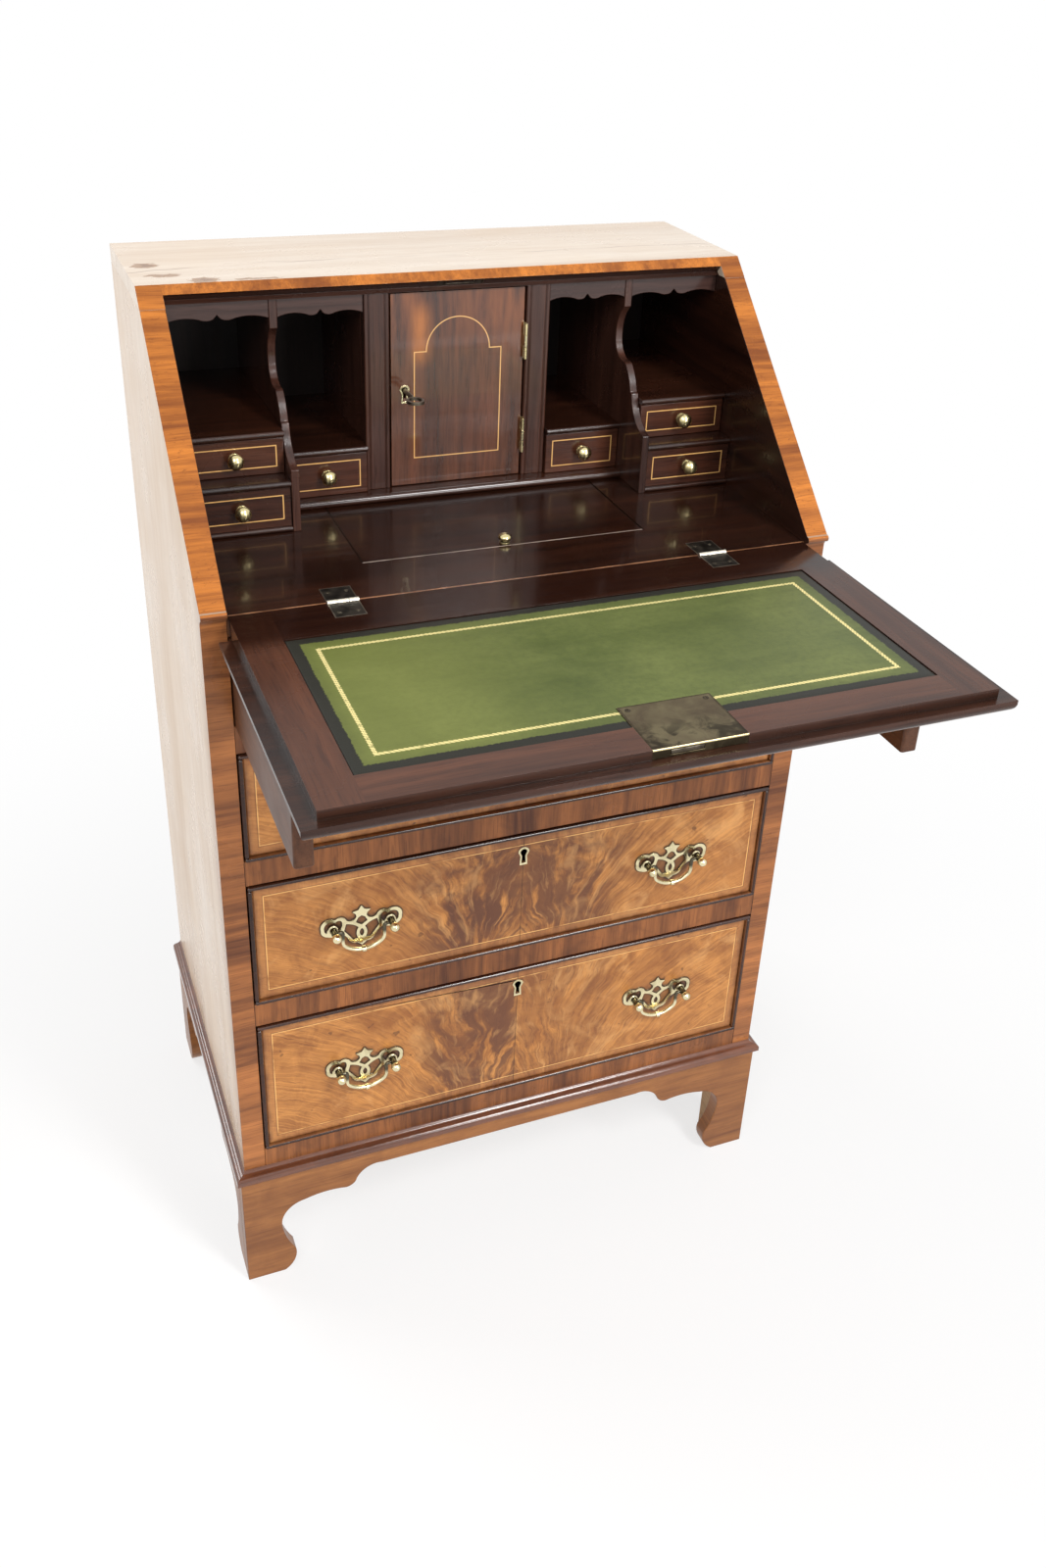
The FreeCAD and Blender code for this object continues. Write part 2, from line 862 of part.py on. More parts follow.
# Fall: a board whose inner half fits between the sides, with a lip lapping over them
def fall():
    rear_edge = "hinge_setback - hinge_gap"
    tongue_end = "hinge_setback - tongue"
    under = "bed_level - fall_thickness"
    lip_half = "tongue_half + lip_side"
    tongue_board = span("-tongue_half", "tongue_half", tongue_end, rear_edge, under, "bed_level")
    lip_low = tongue_end + " - lip_front"
    lip = new_body("lip")
    plan = [
        ("-(%s)" % lip_half, "front + " + lip_low),
        (lip_half, "front + " + lip_low),
        (lip_half, "front + hinge_setback - lip_start"),
        ("-(%s)" % lip_half, "front + hinge_setback - lip_start"),
    ]
    board = pad(lip, outline(lip, "XY_Plane", plan), "fall_thickness - fall_rebate")
    bind(lip, Placement__Base__z=under)
    doc.recompute()
    edges = []
    for number, edge in enumerate(lip.Shape.Edges, start=1):
        middle = edge.BoundBox.Center
        rear_line = value("front + hinge_setback - lip_start")
        level = edge.BoundBox.ZLength < 0.01
        if level and abs(middle.z - value(under)) < 0.01 and abs(middle.y - rear_line) > 0.01:
            edges.append("Edge%d" % number)
    rounding = lip.newObject("PartDesign::Fillet", "rounding")
    rounding.Base = (board, edges)
    bind(rounding, Radius="lip_round")
    lip.Tip = rounding
    leather_end = "hinge_setback - tongue + leather_margin"
    leather_start = "hinge_setback - leather_back"
    leather_half = "tongue_half - leather_margin"
    leather_foot = "bed_level - leather_sunk - leather_thickness"
    seat = span(
        "-(%s)" % leather_half,
        leather_half,
        leather_end,
        leather_start,
        leather_foot,
        "bed_level + 1",
    )
    tools = [seat] + lock_seats() + fall_hinge_seats()
    node("fall_panel", cut(fuse(tongue_board, lip), *tools))
    hide = span(
        "-(%s)" % leather_half,
        leather_half,
        leather_end,
        leather_start,
        leather_foot,
        "bed_level - leather_sunk",
    )
    lock_room = span(
        LOCK_LEFT + " - fall_seat",
        LOCK_RIGHT + " + fall_seat",
        LOCK_END,
        LOCK_START + " + fall_seat",
        leather_foot + " - 1",
        "bed_level",
    )
    node("fall_leather", cut(hide, lock_room))


def fall_hinge_seats():
    tools = []
    notch = "barrel_radius + loose_play"
    for sign in (-1, 1):
        low, high = at_side(sign, "hinge_place - hinge_width / 2", "hinge_place + hinge_width / 2")
        tools.append(span(
            low,
            high,
            "hinge_setback - hinge_leaf",
            "hinge_setback",
            "bed_level - hinge_plate",
            "bed_level + 1",
        ))
        wide_low = low + " - play"
        wide_high = high + " + play"
        foot = "bed_level - (%s)" % notch
        tools.append(span(
            wide_low,
            wide_high,
            "hinge_setback - (%s)" % notch,
            "hinge_setback",
            foot,
            "bed_level + 1",
        ))
    return tools


LOCK_LEFT = "lock_offset - lock_width / 2"
LOCK_RIGHT = "lock_offset + lock_width / 2"
LOCK_END = "hinge_setback - tongue"
LOCK_START = "hinge_setback - tongue + lock_length"


def lock_seats():
    """Cuts for the lock's cap plate, its works, its turned-down selvedge and the keyhole."""
    plate_foot = "bed_level - lock_plate"
    cavity_foot = "bed_level - lock_plate - lock_depth"
    keyhole_y = "hinge_setback - tongue + keyhole_reach"
    under = "bed_level - fall_thickness"
    return [
        span(LOCK_LEFT, LOCK_RIGHT, LOCK_END + " - 1", LOCK_START, plate_foot, "bed_level + 1"),
        span(
            LOCK_LEFT,
            LOCK_RIGHT,
            LOCK_END + " - 1",
            LOCK_END + " + lock_plate",
            "bed_level - selvedge_height",
            "bed_level + 1",
        ),
        span(
            LOCK_LEFT + " + lock_border",
            LOCK_RIGHT + " - lock_border",
            LOCK_END + " + lock_plate",
            LOCK_START + " - lock_border",
            cavity_foot,
            "bed_level",
        ),
        rod("Z", 0, keyhole_y, under + " - 1", "keyhole_radius", "fall_thickness"),
        span("-1", "1", keyhole_y, keyhole_y + " + 6", under + " - 1", "bed_level - 2"),
    ]


def fall_lock():
    cap = span(LOCK_LEFT, LOCK_RIGHT, LOCK_END, LOCK_START, "bed_level - lock_plate", "bed_level")
    selvedge = span(
        LOCK_LEFT,
        LOCK_RIGHT,
        LOCK_END,
        LOCK_END + " + lock_plate",
        "bed_level - selvedge_height",
        "bed_level",
    )
    slot = span(
        "-bolt_width / 2 - play",
        "bolt_width / 2 + play",
        LOCK_END + " - 1",
        LOCK_END + " + lock_plate + 1",
        "bed_level - bolt_sunk - bolt_thickness - play",
        "bed_level - bolt_sunk + play",
    )
    keyhole_y = "hinge_setback - tongue + keyhole_reach"
    under = "bed_level - fall_thickness"
    disc = rod("Z", 0, keyhole_y + " + 2", under + " - 0.8", "escutcheon_radius * 1.5", "0.8")
    hole = fuse(
        rod("Z", 0, keyhole_y, under + " - 2", "keyhole_radius", "4"),
        span("-1", "1", keyhole_y, keyhole_y + " + 6", under + " - 2", under + " + 2"),
    )
    node("fall_lock", cut(fuse(cap, selvedge), slot), cut(disc, hole))
    bolt_foot = "bed_level - bolt_sunk - bolt_thickness"
    bolt_y = LOCK_END + " + play"
    node(
        "fall_lock_bolt",
        box("-bolt_width / 2", bolt_y, bolt_foot, "bolt_width", "bolt_length", "bolt_thickness"),
    )


# Butt hinges of the fall, sunk flush, their knuckles on the joint line
def fall_hinges():
    fixed = []
    moving = []
    plate_foot = "bed_level - hinge_plate"
    clear = "barrel_radius + play"
    for sign in (-1, 1):
        middle = "%d * hinge_place" % sign
        low = middle + " - hinge_width / 2"
        high = middle + " + hinge_width / 2"
        inner_low = middle + " - middle_barrel / 2"
        inner_high = middle + " + middle_barrel / 2"
        end_barrel = "(hinge_width - middle_barrel) / 2 - play"
        end_low = "%s - (%s)" % (high, end_barrel)
        near = "hinge_setback + " + clear
        pieces = [span(low, high, near, "hinge_setback + hinge_leaf", plate_foot, "bed_level")]
        for start in (low, end_low):
            pieces.append(rod("X", start, "hinge_setback", "bed_level", "barrel_radius", end_barrel))
            pieces.append(span(
                start,
                "%s + (%s)" % (start, end_barrel),
                "hinge_setback",
                near,
                plate_foot,
                "bed_level",
            ))
        pieces.append(rod("X", low, "hinge_setback", "bed_level", "pin_radius", "hinge_width"))
        fixed.append(fuse(*pieces))
        far = "hinge_setback - (%s)" % clear
        pieces = [
            span(low, high, "hinge_setback - hinge_leaf", far, plate_foot, "bed_level"),
            rod("X", inner_low, "hinge_setback", "bed_level", "barrel_radius", "middle_barrel"),
            span(inner_low, inner_high, far, "hinge_setback", plate_foot, "bed_level"),
        ]
        bore = rod("X", low, "hinge_setback", "bed_level", "pin_radius + play", "hinge_width")
        moving.append(cut(fuse(*pieces), bore))
    node("fall_hinge_leaves", *moving)
    return fixed


def lopers():
    for name, sign in SIDES:
        low, high = at_side(sign, "passage_inner + loper_gap", "inner - loper_gap")
        body = new_body("loper")
        plan = [
            (low, "front - loper_out"),
            (high, "front - loper_out"),
            (high, "front + rear - loper_rear_gap - loper_out"),
            (low, "front + rear - loper_rear_gap - loper_out"),
        ]
        board = pad(body, outline(body, "XY_Plane", plan), "loper_opening - run_gap - loose_play")
        bind(body, Placement__Base__z="loper_foot + run_gap")
        doc.recompute()
        corners = []
        for number, edge in enumerate(body.Shape.Edges, start=1):
            upright = edge.BoundBox.ZLength > 1
            if upright and abs(edge.BoundBox.Center.y - value("front - loper_out")) < 0.01:
                corners.append("Edge%d" % number)
        rounding = body.newObject("PartDesign::Fillet", "rounding")
        rounding.Base = (board, corners)
        bind(rounding, Radius="loper_round")
        body.Tip = rounding
        node("loper_" + name, body)


def knob_profile(r="knob_radius", reach="knob_reach"):
    """A small turned brass knob, from its seat forward."""
    return [
        ("0", "0"),
        ("0", "%s * 0.75" % r),
        ("-%s * 0.1" % reach, "%s * 0.75" % r),
        ("-%s * 0.16" % reach, "%s * 0.4" % r),
        ("-%s * 0.36" % reach, "%s * 0.4" % r),
        ("-%s * 0.55" % reach, "%s * 0.96" % r, "arc"),
        ("-%s * 0.8" % reach, "%s * 0.8" % r),
        ("-%s * 0.95" % reach, "%s * 0.46" % r, "arc"),
        ("-%s" % reach, "%s * 0.12" % r),
        ("-%s" % reach, "0"),
    ]


# Long drawers: a veneered front with a cock bead round it on a box of thin boards
def long_drawer(name, foot, head):
    low = "-inner + side_gap"
    high = "inner - side_gap"
    sill = foot + " + run_gap"
    lintel = head + " - side_gap"
    back_face = "front_sunk + front_thickness"
    bead_front = "front_sunk - bead_proud"
    panel = span(
        low + " + bead_width",
        high + " - bead_width",
        "front_sunk",
        back_face,
        sill + " + bead_width",
        lintel + " - bead_width",
    )
    handle_z = "(%s + %s) / 2 + handle_rise" % (foot, head)
    beads = [
        span(low, high, bead_front, back_face, sill, sill + " + bead_width"),
        span(low, high, bead_front, back_face, lintel + " - bead_width", lintel),
    ]
    for start in (low, high + " - bead_width"):
        end = start + " + bead_width"
        beads.append(span(
            start,
            end,
            bead_front,
            back_face,
            sill + " + bead_width",
            lintel + " - bead_width",
        ))
    escutcheon_z = head + " - escutcheon_drop"
    keyhole = extrude(
        "XZ_Plane",
        keyhole_outline("escutcheon_radius", 0),
        "front_thickness",
        z=escutcheon_z,
    )
    node("drawer_%s_front" % name, cut(panel, keyhole), *beads)
    end = "rear - drawer_rear_gap"
    side_head = lintel + " - drawer_side_drop"
    boards = []
    for start in (low, high + " - drawer_side"):
        boards.append(span(start, start + " + drawer_side", back_face, end, sill, side_head))
    inside_low = low + " + drawer_side"
    inside_high = high + " - drawer_side"
    floor = sill + " + drawer_bottom_rise"
    floor_top = floor + " + drawer_bottom"
    boards.append(span(inside_low, inside_high, back_face, end, floor, floor_top))
    boards.append(span(inside_low, inside_high, end + " - drawer_side", end, floor_top, side_head))
    node("drawer_%s_box" % name, *boards)
    brasses = []
    for side, sign in SIDES:
        middle = "%d * handle_place" % sign
        brasses.append(handle_plate(middle, handle_z))
        for post in (-1, 1):
            brasses.append(handle_post(middle, post, handle_z))
        node("drawer_%s_bail_%s" % (name, side), bail(middle, handle_z))
    brasses.append(escutcheon("0", "front_sunk", escutcheon_z, "escutcheon_radius"))
    lock_low = "-drawer_lock_width / 2"
    lock_foot = escutcheon_z + " - drawer_lock_height * 0.6"
    brasses.append(box(
        lock_low,
        back_face,
        lock_foot,
        "drawer_lock_width",
        "drawer_lock_depth",
        "drawer_lock_height",
    ))
    node("drawer_%s_brasses" % name, *brasses)


def keyhole_outline(r, ring):
    """A keyhole's outline: round above, a flared slot below; ring is how much the brass adds."""
    return [
        ("-%s * (0.62 + %g)" % (r, ring), "0"),
        ("0", "%s * (0.62 + %g)" % (r, ring), "arc"),
        ("%s * (0.62 + %g)" % (r, ring), "0"),
        ("%s * (0.3 + %g)" % (r, ring * 0.8), "-%s * 0.82" % r),
        ("%s * (0.4 + %g)" % (r, ring * 0.8), "-%s * (2.25 + %g)" % (r, ring)),
        ("-%s * (0.4 + %g)" % (r, ring * 0.8), "-%s * (2.25 + %g)" % (r, ring)),
        ("-%s * (0.3 + %g)" % (r, ring * 0.8), "-%s * 0.82" % r),
    ]


def escutcheon(x, face, z, r):
    """A keyhole-shaped brass rim on the face of a front."""
    body = new_body("escutcheon")
    rim = outline(body, "XZ_Plane", keyhole_outline(r, 0.38), keyhole_outline(r, 0))
    pad(body, rim, "plate_thickness / 2")
    place(body, x, face, z)
    return body


# Pierced backplate, right half: a star over looped ends, struts, an oval link and a pendant,
# then back up the middle line past the link's hole and the star's
PLATE_EDGE = [
    (0, 20.5),
    (2.9, 15.8),
    (8.5, 14.6),
    (5.4, 11.6),
    (4.8, 9),
    (8.6, 5, "arc"),
    (14.2, 6.8),
    (19.4, 11.2, "arc"),
    (24.6, 9.4),
    (32.8, 10.8, "arc"),
    (38, 0.4),
    (36.6, -5.2, "arc"),
    (32, -8),
    (26.6, -9.2, "arc"),
    (21, -7.2),
    (15.6, -10.6, "arc"),
    (12.4, -16),
    (9.6, -19.4, "arc"),
    (4.6, -20.6),
    (0, -24.5),
    (0, -14.2),
    (2.1, -9.8, "arc"),
    (0, -5.4),
    (0, -1.4),
    (5.6, 2.6),
    (3.1, 7.4),
    (0, 9.2),
]
PLATE_LOOP = [
    (18.3, 5.2),
    (21.4, 8.2, "arc"),
    (24.5, 5.8),
    (31.4, 7.6, "arc"),
    (34.9, 0.4),
    (34.3, -2.4, "arc"),
    (32.4, -4),
    (27, 2.3, "arc"),
    (21.8, -3.4),
    (18.6, 0.6, "arc"),
]
PLATE_STRUT_HOLE = [
    (14.6, 2.6),
    (8.4, 0.6, "arc"),
    (3, -3.6),
    (5, -9.8, "arc"),
    (3.4, -16),
    (8.2, -16.8),
    (11, -12.6, "arc"),
    (16.6, -5),
]
PLATE_SPREAD = 27


def handle_plate(middle, z):
    """A backplate drawn for posts PLATE_SPREAD from its middle and sized to the real spread."""
    loops = []
    for points in (PLATE_EDGE, PLATE_LOOP, PLATE_STRUT_HOLE):
        sized = []
        for point in points:
            across = "%g * post_place / %d" % (point[0], PLATE_SPREAD)
            up = "%g * post_place / %d" % (point[1], PLATE_SPREAD)
            sized.append((across, up) + tuple(point[2:]))
        loops.append(sized)
    body = new_body("plate")
    half = pad(body, outline(body, "XZ_Plane", *loops), "plate_thickness", reverse=True)
    other = body.newObject("PartDesign::Mirrored", "other_half")
    other.Originals = [half]
    other.MirrorPlane = (plane_of(body, "YZ_Plane"), [""])
    body.Tip = other
    place(body, middle, "front_sunk - plate_thickness", z)
    return body


def handle_post(middle, side, z):
    """A turned post with a ball end, bored on its inner side for the bail."""
    centre = "%s + %d * post_place" % (middle, side)
    face = "front_sunk - plate_thickness"
    ball_start = "-post_reach + post_ball * 0.87"
    profile = [
        ("0", "0"),
        ("0", "post_radius * 1.35"),
        ("-1.2", "post_radius * 1.35"),
        ("-2", "post_radius"),
        (ball_start, "post_radius"),
        (ball_start, "post_ball * 0.5"),
        ("-post_reach", "post_ball", "arc"),
        ("-post_reach - post_ball", "post_ball * 0.12"),
        ("-post_reach - post_ball", "0"),
    ]
    post = turned(profile, centre, face, z)
    start = centre + " - post_radius - 1"
    if side < 0:
        start = centre + " + post_radius - pin_depth - loose_play"
    bore = rod("X", start, face + " - bail_reach", z, "bail_pin + play", "pin_depth + 1.5")
    return cut(post, bore)


def bail(middle, z):
    """A swan-neck bail with a knop, hanging from pins in the two posts."""
    pin_end = "post_place - post_radius + pin_depth"
    body = new_body("bail")
    lean = "(bail_turn + 90) / 2"
    path_points = [
        ("0", "-bail_drop"),
        ("bail_sweep * sin(bail_turn / 2)", "-bail_drop + bail_sweep * (1 - cos(bail_turn / 2))", "arc"),
        ("bail_sweep * sin(bail_turn)", "-bail_drop + bail_sweep * (1 - cos(bail_turn))"),
        (
            "bail_arm - bail_round * (1 - sin(%s))" % lean,
            "bail_shoulder - bail_round * cos(%s)" % lean,
            "arc",
        ),
        ("bail_arm", "bail_shoulder"),
        ("bail_arm", "-bail_neck"),
        ("bail_arm + bail_neck * (1 - cos(45))", "-bail_neck * (1 - sin(45))", "arc"),
        ("bail_arm + bail_neck", "0"),
    ]
    path = outline(body, "XZ_Plane", path_points, closed=False)
    section = body.newObject("Sketcher::SketchObject", "section")
    section.AttachmentSupport = (plane_of(body, "YZ_Plane"), [""])
    section.MapMode = "FlatFace"
    ring = Part.Circle(
        FreeCAD.Vector(0, value("-bail_drop"), 0),
        FreeCAD.Vector(0, 0, 1),
        value("bail_radius"),
    )
    circle = section.addGeometry(ring, False)
    bind_point(section, circle, 3, ("0", "-bail_drop"))
    number = section.addConstraint(Sketcher.Constraint("Radius", circle, value("bail_radius")))
    section.setExpression("Constraints[%d]" % number, bound("bail_radius"))
    pipe = body.newObject("PartDesign::AdditivePipe", "pipe")
    pipe.Profile = section
    pipe.Spine = path
    mirror = body.newObject("PartDesign::Mirrored", "other_arm")
    mirror.Originals = [pipe]
    mirror.MirrorPlane = (plane_of(body, "YZ_Plane"), [""])
    body.Tip = mirror
    swing = "front_sunk - plate_thickness - bail_reach"
    place(body, middle, swing, z)
    arm = "bail_arm + bail_neck"
    pins = []
    for sign in (-1, 1):
        low, high = at_side(sign, arm, pin_end)
        pins.append(rod(
            "X",
            "%s + (%s)" % (middle, low),
            swing,
            z,
            "bail_pin",
            "(%s) - (%s)" % (high, low),
        ))
    knop = rod("X", middle + " - knop_length / 2", swing, z + " - bail_drop", "knop_radius", "knop_length")
    return fuse(body, knop, *pins)


# Gallery: base, serpentine dividers, cupboard, shelves with rounded edges and valances
def nosed_board(x_low, x_high, nose, y_rear, z_low, thickness):
    radius = "(%s) / 2" % thickness
    board = span(x_low, x_high, "%s + %s" % (nose, radius), y_rear, z_low, "%s + %s" % (z_low, thickness))
    edge = rod(
        "X",
        x_low,
        "%s + %s" % (nose, radius),
        "%s + %s" % (z_low, radius),
        radius,
        "(%s) - (%s)" % (x_high, x_low),
    )
    return fuse(board, edge)


def gallery():
    pieces = [nosed_board(
        "-divider_place",
        "divider_place",
        "base_front",
        "rear",
        "bed_level",
        "base_thickness",
    )]
    shelves = []
    uprights = []
    valances = []
    for sign in (-1, 1):
        low, high = at_side(sign, "divider_outer", "inner")
        stack_nose = "stack_front - nosing_forward"
        upper_nose = "upper_front - nosing_forward"
        single_nose = "single_front - nosing_forward"
        pieces.append(nosed_board(low, high, stack_nose, "rear", "bed_level", "stack_base"))
        shelves.append(nosed_board(low, high, stack_nose, "rear", "lower_shelf", "shelf_thickness"))
        shelves.append(nosed_board(low, high, upper_nose, "rear", "upper_shelf", "shelf_thickness"))
        valances.append(valance(low, high))
        low, high = at_side(sign, "pilaster_outer", "divider_place")
        shelves.append(nosed_board(low, high, single_nose, "rear", "single_shelf", "shelf_thickness"))
        valances.append(valance(low, high))
        low, high = at_side(sign, "divider_place", "divider_outer")
        uprights.append(extrude("YZ_Plane", divider_profile(), "divider_thickness", x=low))
        low, high = at_side(sign, "cupboard_half", "pilaster_outer")
        rear_of_pilaster = "pilaster_front + pilaster_thickness"
        uprights.append(span(low, high, rear_of_pilaster, "rear", "base_top", "top_under"))
    node("gallery_base", *pieces)
    node("gallery_uprights", *uprights)
    node("gallery_shelves", *shelves)
    node("valances", *valances)


def divider_profile():
    """Front edge of a divider: a nib under the top, a hollow, a swelling and an upright foot."""
    foot_y = "stack_front - nosing_forward"
    deep = "(door_front - stack_front)"
    tall = "(top_under - upper_floor)"
    return [
        (foot_y, "bed_level"),
        ("rear", "bed_level"),
        ("rear", "top_under"),
        ("pilaster_front + 2", "top_under"),
        ("pilaster_front + 2", "top_under - %s * 0.18" % tall),
        ("pilaster_front + 14", "top_under - %s * 0.29" % tall, "arc"),
        ("pilaster_front + 16", "top_under - %s * 0.4" % tall),
        ("pilaster_front + 11", "top_under - %s * 0.49" % tall, "arc"),
        ("stack_front + %s * 0.86" % deep, "top_under - %s * 0.53" % tall),
        ("stack_front + %s * 0.86 - divider_ledge" % deep, "top_under - %s * 0.535" % tall),
        ("stack_front + %s * 0.64" % deep, "top_under - %s * 0.61" % tall, "arc"),
        ("stack_front + %s * 0.54" % deep, "top_under - %s * 0.7" % tall),
        ("stack_front + %s * 0.54 - divider_ledge" % deep, "top_under - %s * 0.705" % tall),
        ("stack_front + %s * 0.31" % deep, "top_under - %s * 0.85" % tall, "arc"),
        (foot_y, "upper_floor + 10"),
    ]


def valance(x_low, x_high):
    """A shaped head to a pigeonhole: a lobe each side of a small cusp, rising arcs to both ends."""
    width = "((%s) - (%s))" % (x_high, x_low)
    head = "top_under"
    drop = "valance_drop"

    def across(share):
        return "%s + %s * %g" % (x_low, width, share)

    def down(share):
        return "%s - %s * %g" % (head, drop, share)

    points = [
        (x_high, head),
        (x_low, head),
        (x_low, down(0.98)),
        (across(0.19), down(0.81), "arc"),
        (across(0.33), down(0.9)),
        (across(0.4), down(0.98), "arc"),
        (across(0.46), down(0.92)),
        (across(0.5), down(0.7)),
        (across(0.54), down(0.92)),
        (across(0.6), down(0.98), "arc"),
        (across(0.67), down(0.9)),
        (across(0.81), down(0.81), "arc"),
        (x_high, down(0.98)),
    ]
    return extrude("XZ_Plane", points, "valance_thickness", y="pilaster_front + 3")


def pilasters():
    pieces = []
    for name, sign in SIDES:
        edge = "%d * pilaster_inner" % sign
        back = "pilaster_front + pilaster_thickness"

        def across(distance):
            return "%s + %d * (%s)" % (edge, sign, distance)

        plan = [
            (across("0"), "front + " + back),
            (across("0"), "front + pilaster_front + reed"),
            (across("reed * 0.3"), "front + pilaster_front + reed * 0.3", "arc"),
            (across("reed"), "front + pilaster_front"),
            (across("reed * 2"), "front + pilaster_front"),
            (across("reed * 2.5"), "front + pilaster_front + reed * 0.8"),
            (across("reed * 3"), "front + pilaster_front"),
            (across("pilaster_width - reed * 3"), "front + pilaster_front"),
            (across("pilaster_width - reed * 2.5"), "front + pilaster_front + reed * 0.8"),
            (across("pilaster_width - reed * 2"), "front + pilaster_front"),
            (across("pilaster_width - reed"), "front + pilaster_front"),
            (across("pilaster_width - reed * 0.3"), "front + pilaster_front + reed * 0.3", "arc"),
            (across("pilaster_width"), "front + pilaster_front + reed"),
            (across("pilaster_width"), "front + " + back),
        ]
        body = new_body("pilaster")
        pad(body, outline(body, "XY_Plane", plan), "top_under - base_top")
        bind(body, Placement__Base__z="base_top")
        if sign < 0:
            mortise_end = "-pilaster_inner - door_bolt_throw - mortise_gap"
            mortise = door_bolt_space(mortise_end, "-pilaster_inner + 1", "mortise_gap")
            pieces.append(cut(body, mortise))
        else:
            pieces.append(body)
    node("pilasters", *pieces)


def door_bolt_space(x_low, x_high, clearance):
    """The room of the prospect door's bolt, over the key's shank."""
    y_low = "door_front + door_bolt_back - %s" % clearance
    y_high = "door_front + door_bolt_back + door_bolt_thickness + %s" % clearance
    z_low = "key_z + key_radius + 2 - %s" % clearance
    z_high = "key_z + key_radius + 2 + door_bolt_height + %s" % clearance
    return span(x_low, x_high, y_low, y_high, z_low, z_high)


# Prospect door with its lock, bolt, key and butt hinges
def prospect_door():
    back = "door_front + door_thickness"
    board = span("-door_half", "door_half", "door_front", back, "door_foot", "door_head")
    works_high = "key_x + key_inset + 4"
    recess = span(
        "-door_half - 1",
        works_high,
        "door_front + 4",
        back + " + 1",
        "key_z - door_lock_half",
        "key_z + door_lock_half",
    )
    hole = fuse(
        rod("Y", "key_x", "door_front - 1", "key_z", "key_radius + 0.6", "door_thickness + 2"),
        span(
            "key_x - 1.2",
            "key_x + 1.2",
            "door_front - 1",
            back + " + 1",
            "key_z - key_radius - bit_length - loose_play",
            "key_z",
        ),
    )
    node("prospect_door", cut(board, recess, hole))
    cover_low = "-door_half"
    cover = span(
        cover_low,
        works_high,
        back + " - 1",
        back,
        "key_z - door_lock_half",
        "key_z + door_lock_half",
    )
    rim = span(
        cover_low,
        cover_low + " + 1",
        "door_front + 4",
        back,
        "key_z - door_lock_half",
        "key_z + door_lock_half",
    )
    bolt_way = door_bolt_space("-door_half - 1", "-door_half + 2", "play")
    key_plate = escutcheon("key_x", "door_front", "key_z", "key_plate_radius")
    node("door_lock", cut(fuse(cover, rim), bolt_way), key_plate)
    node("door_lock_bolt", door_bolt_space("-door_half + run_gap", "key_x + 8", "0"))
    bow_middle = "door_front - key_reach - bow_length / 2"
    shank_length = "key_reach + bow_rod + door_thickness - 2"
    shank = rod("Y", "key_x", "door_front - key_reach - bow_rod", "key_z", "key_radius", shank_length)
    bit = span(
        "key_x - 0.9",
        "key_x + 0.9",
        "door_front + 8",
        "door_front + 10",
        "key_z - key_radius - bit_length",
        "key_z",
    )
    node("door_key", fuse(shank, bit, key_bow(bow_middle)))


def key_bow(middle):
    """The oval ring of the key, lying level."""
    body = new_body("bow")
    wide = "bow_width / 2"
    long = "bow_length / 2"

    def oval(less):
        half_wide = "%s - %s" % (wide, less)
        half_long = "%s - %s" % (long, less)
        return [
            ("-(%s)" % half_wide, "0"),
            ("-(%s) * 0.72" % half_wide, "(%s) * 0.7" % half_long, "arc"),
            ("0", half_long),
            ("(%s) * 0.72" % half_wide, "(%s) * 0.7" % half_long, "arc"),
            (half_wide, "0"),
            ("(%s) * 0.72" % half_wide, "-(%s) * 0.7" % half_long, "arc"),
            ("0", "-(%s)" % half_long),
            ("-(%s) * 0.72" % half_wide, "-(%s) * 0.7" % half_long, "arc"),
        ]

    pad(body, outline(body, "XY_Plane", oval("0"), oval("bow_rod * 1.6")), "bow_rod * 1.6", both=True)
    place(body, "key_x", middle, "key_z")
    return body


def door_hinges():
    fixed = []
    moving = []
    leaf_end = "door_axis_y + door_leaf_depth"
    third = "door_hinge_height / 3"
    for foot in ("door_hinge_low", "door_hinge_high"):
        head = foot + " + door_hinge_height"
        levels = [foot, "%s + %s" % (foot, third), "%s + 2 * %s" % (foot, third), head]
        fixed_low = "pilaster_inner - door_leaf"
        pieces = [span(fixed_low, "pilaster_inner", "pilaster_front", leaf_end, foot, head)]
        for number in (0, 2):
            low = levels[number] + " + play / 2"
            high = levels[number + 1] + " - play / 2"
            pieces.append(rod(
                "Z",
                "door_axis_x",
                "door_axis_y",
                low,
                "door_barrel",
                "(%s) - (%s)" % (high, low),
            ))
            pieces.append(span(fixed_low, "pilaster_inner", "door_axis_y", "pilaster_front", low, high))
        fixed.append(fuse(*pieces))
        low = levels[1] + " + play / 2"
        high = levels[2] + " - play / 2"
        moving_high = "door_half + door_leaf"
        pieces = [
            span("door_half", moving_high, "door_front", leaf_end, foot, head),
            rod("Z", "door_axis_x", "door_axis_y", low, "door_barrel", "(%s) - (%s)" % (high, low)),
            span("door_half", moving_high, "door_axis_y", "door_front", low, high),
        ]
        moving.append(fuse(*pieces))
    node("door_hinge_leaves", *moving)
    return fixed


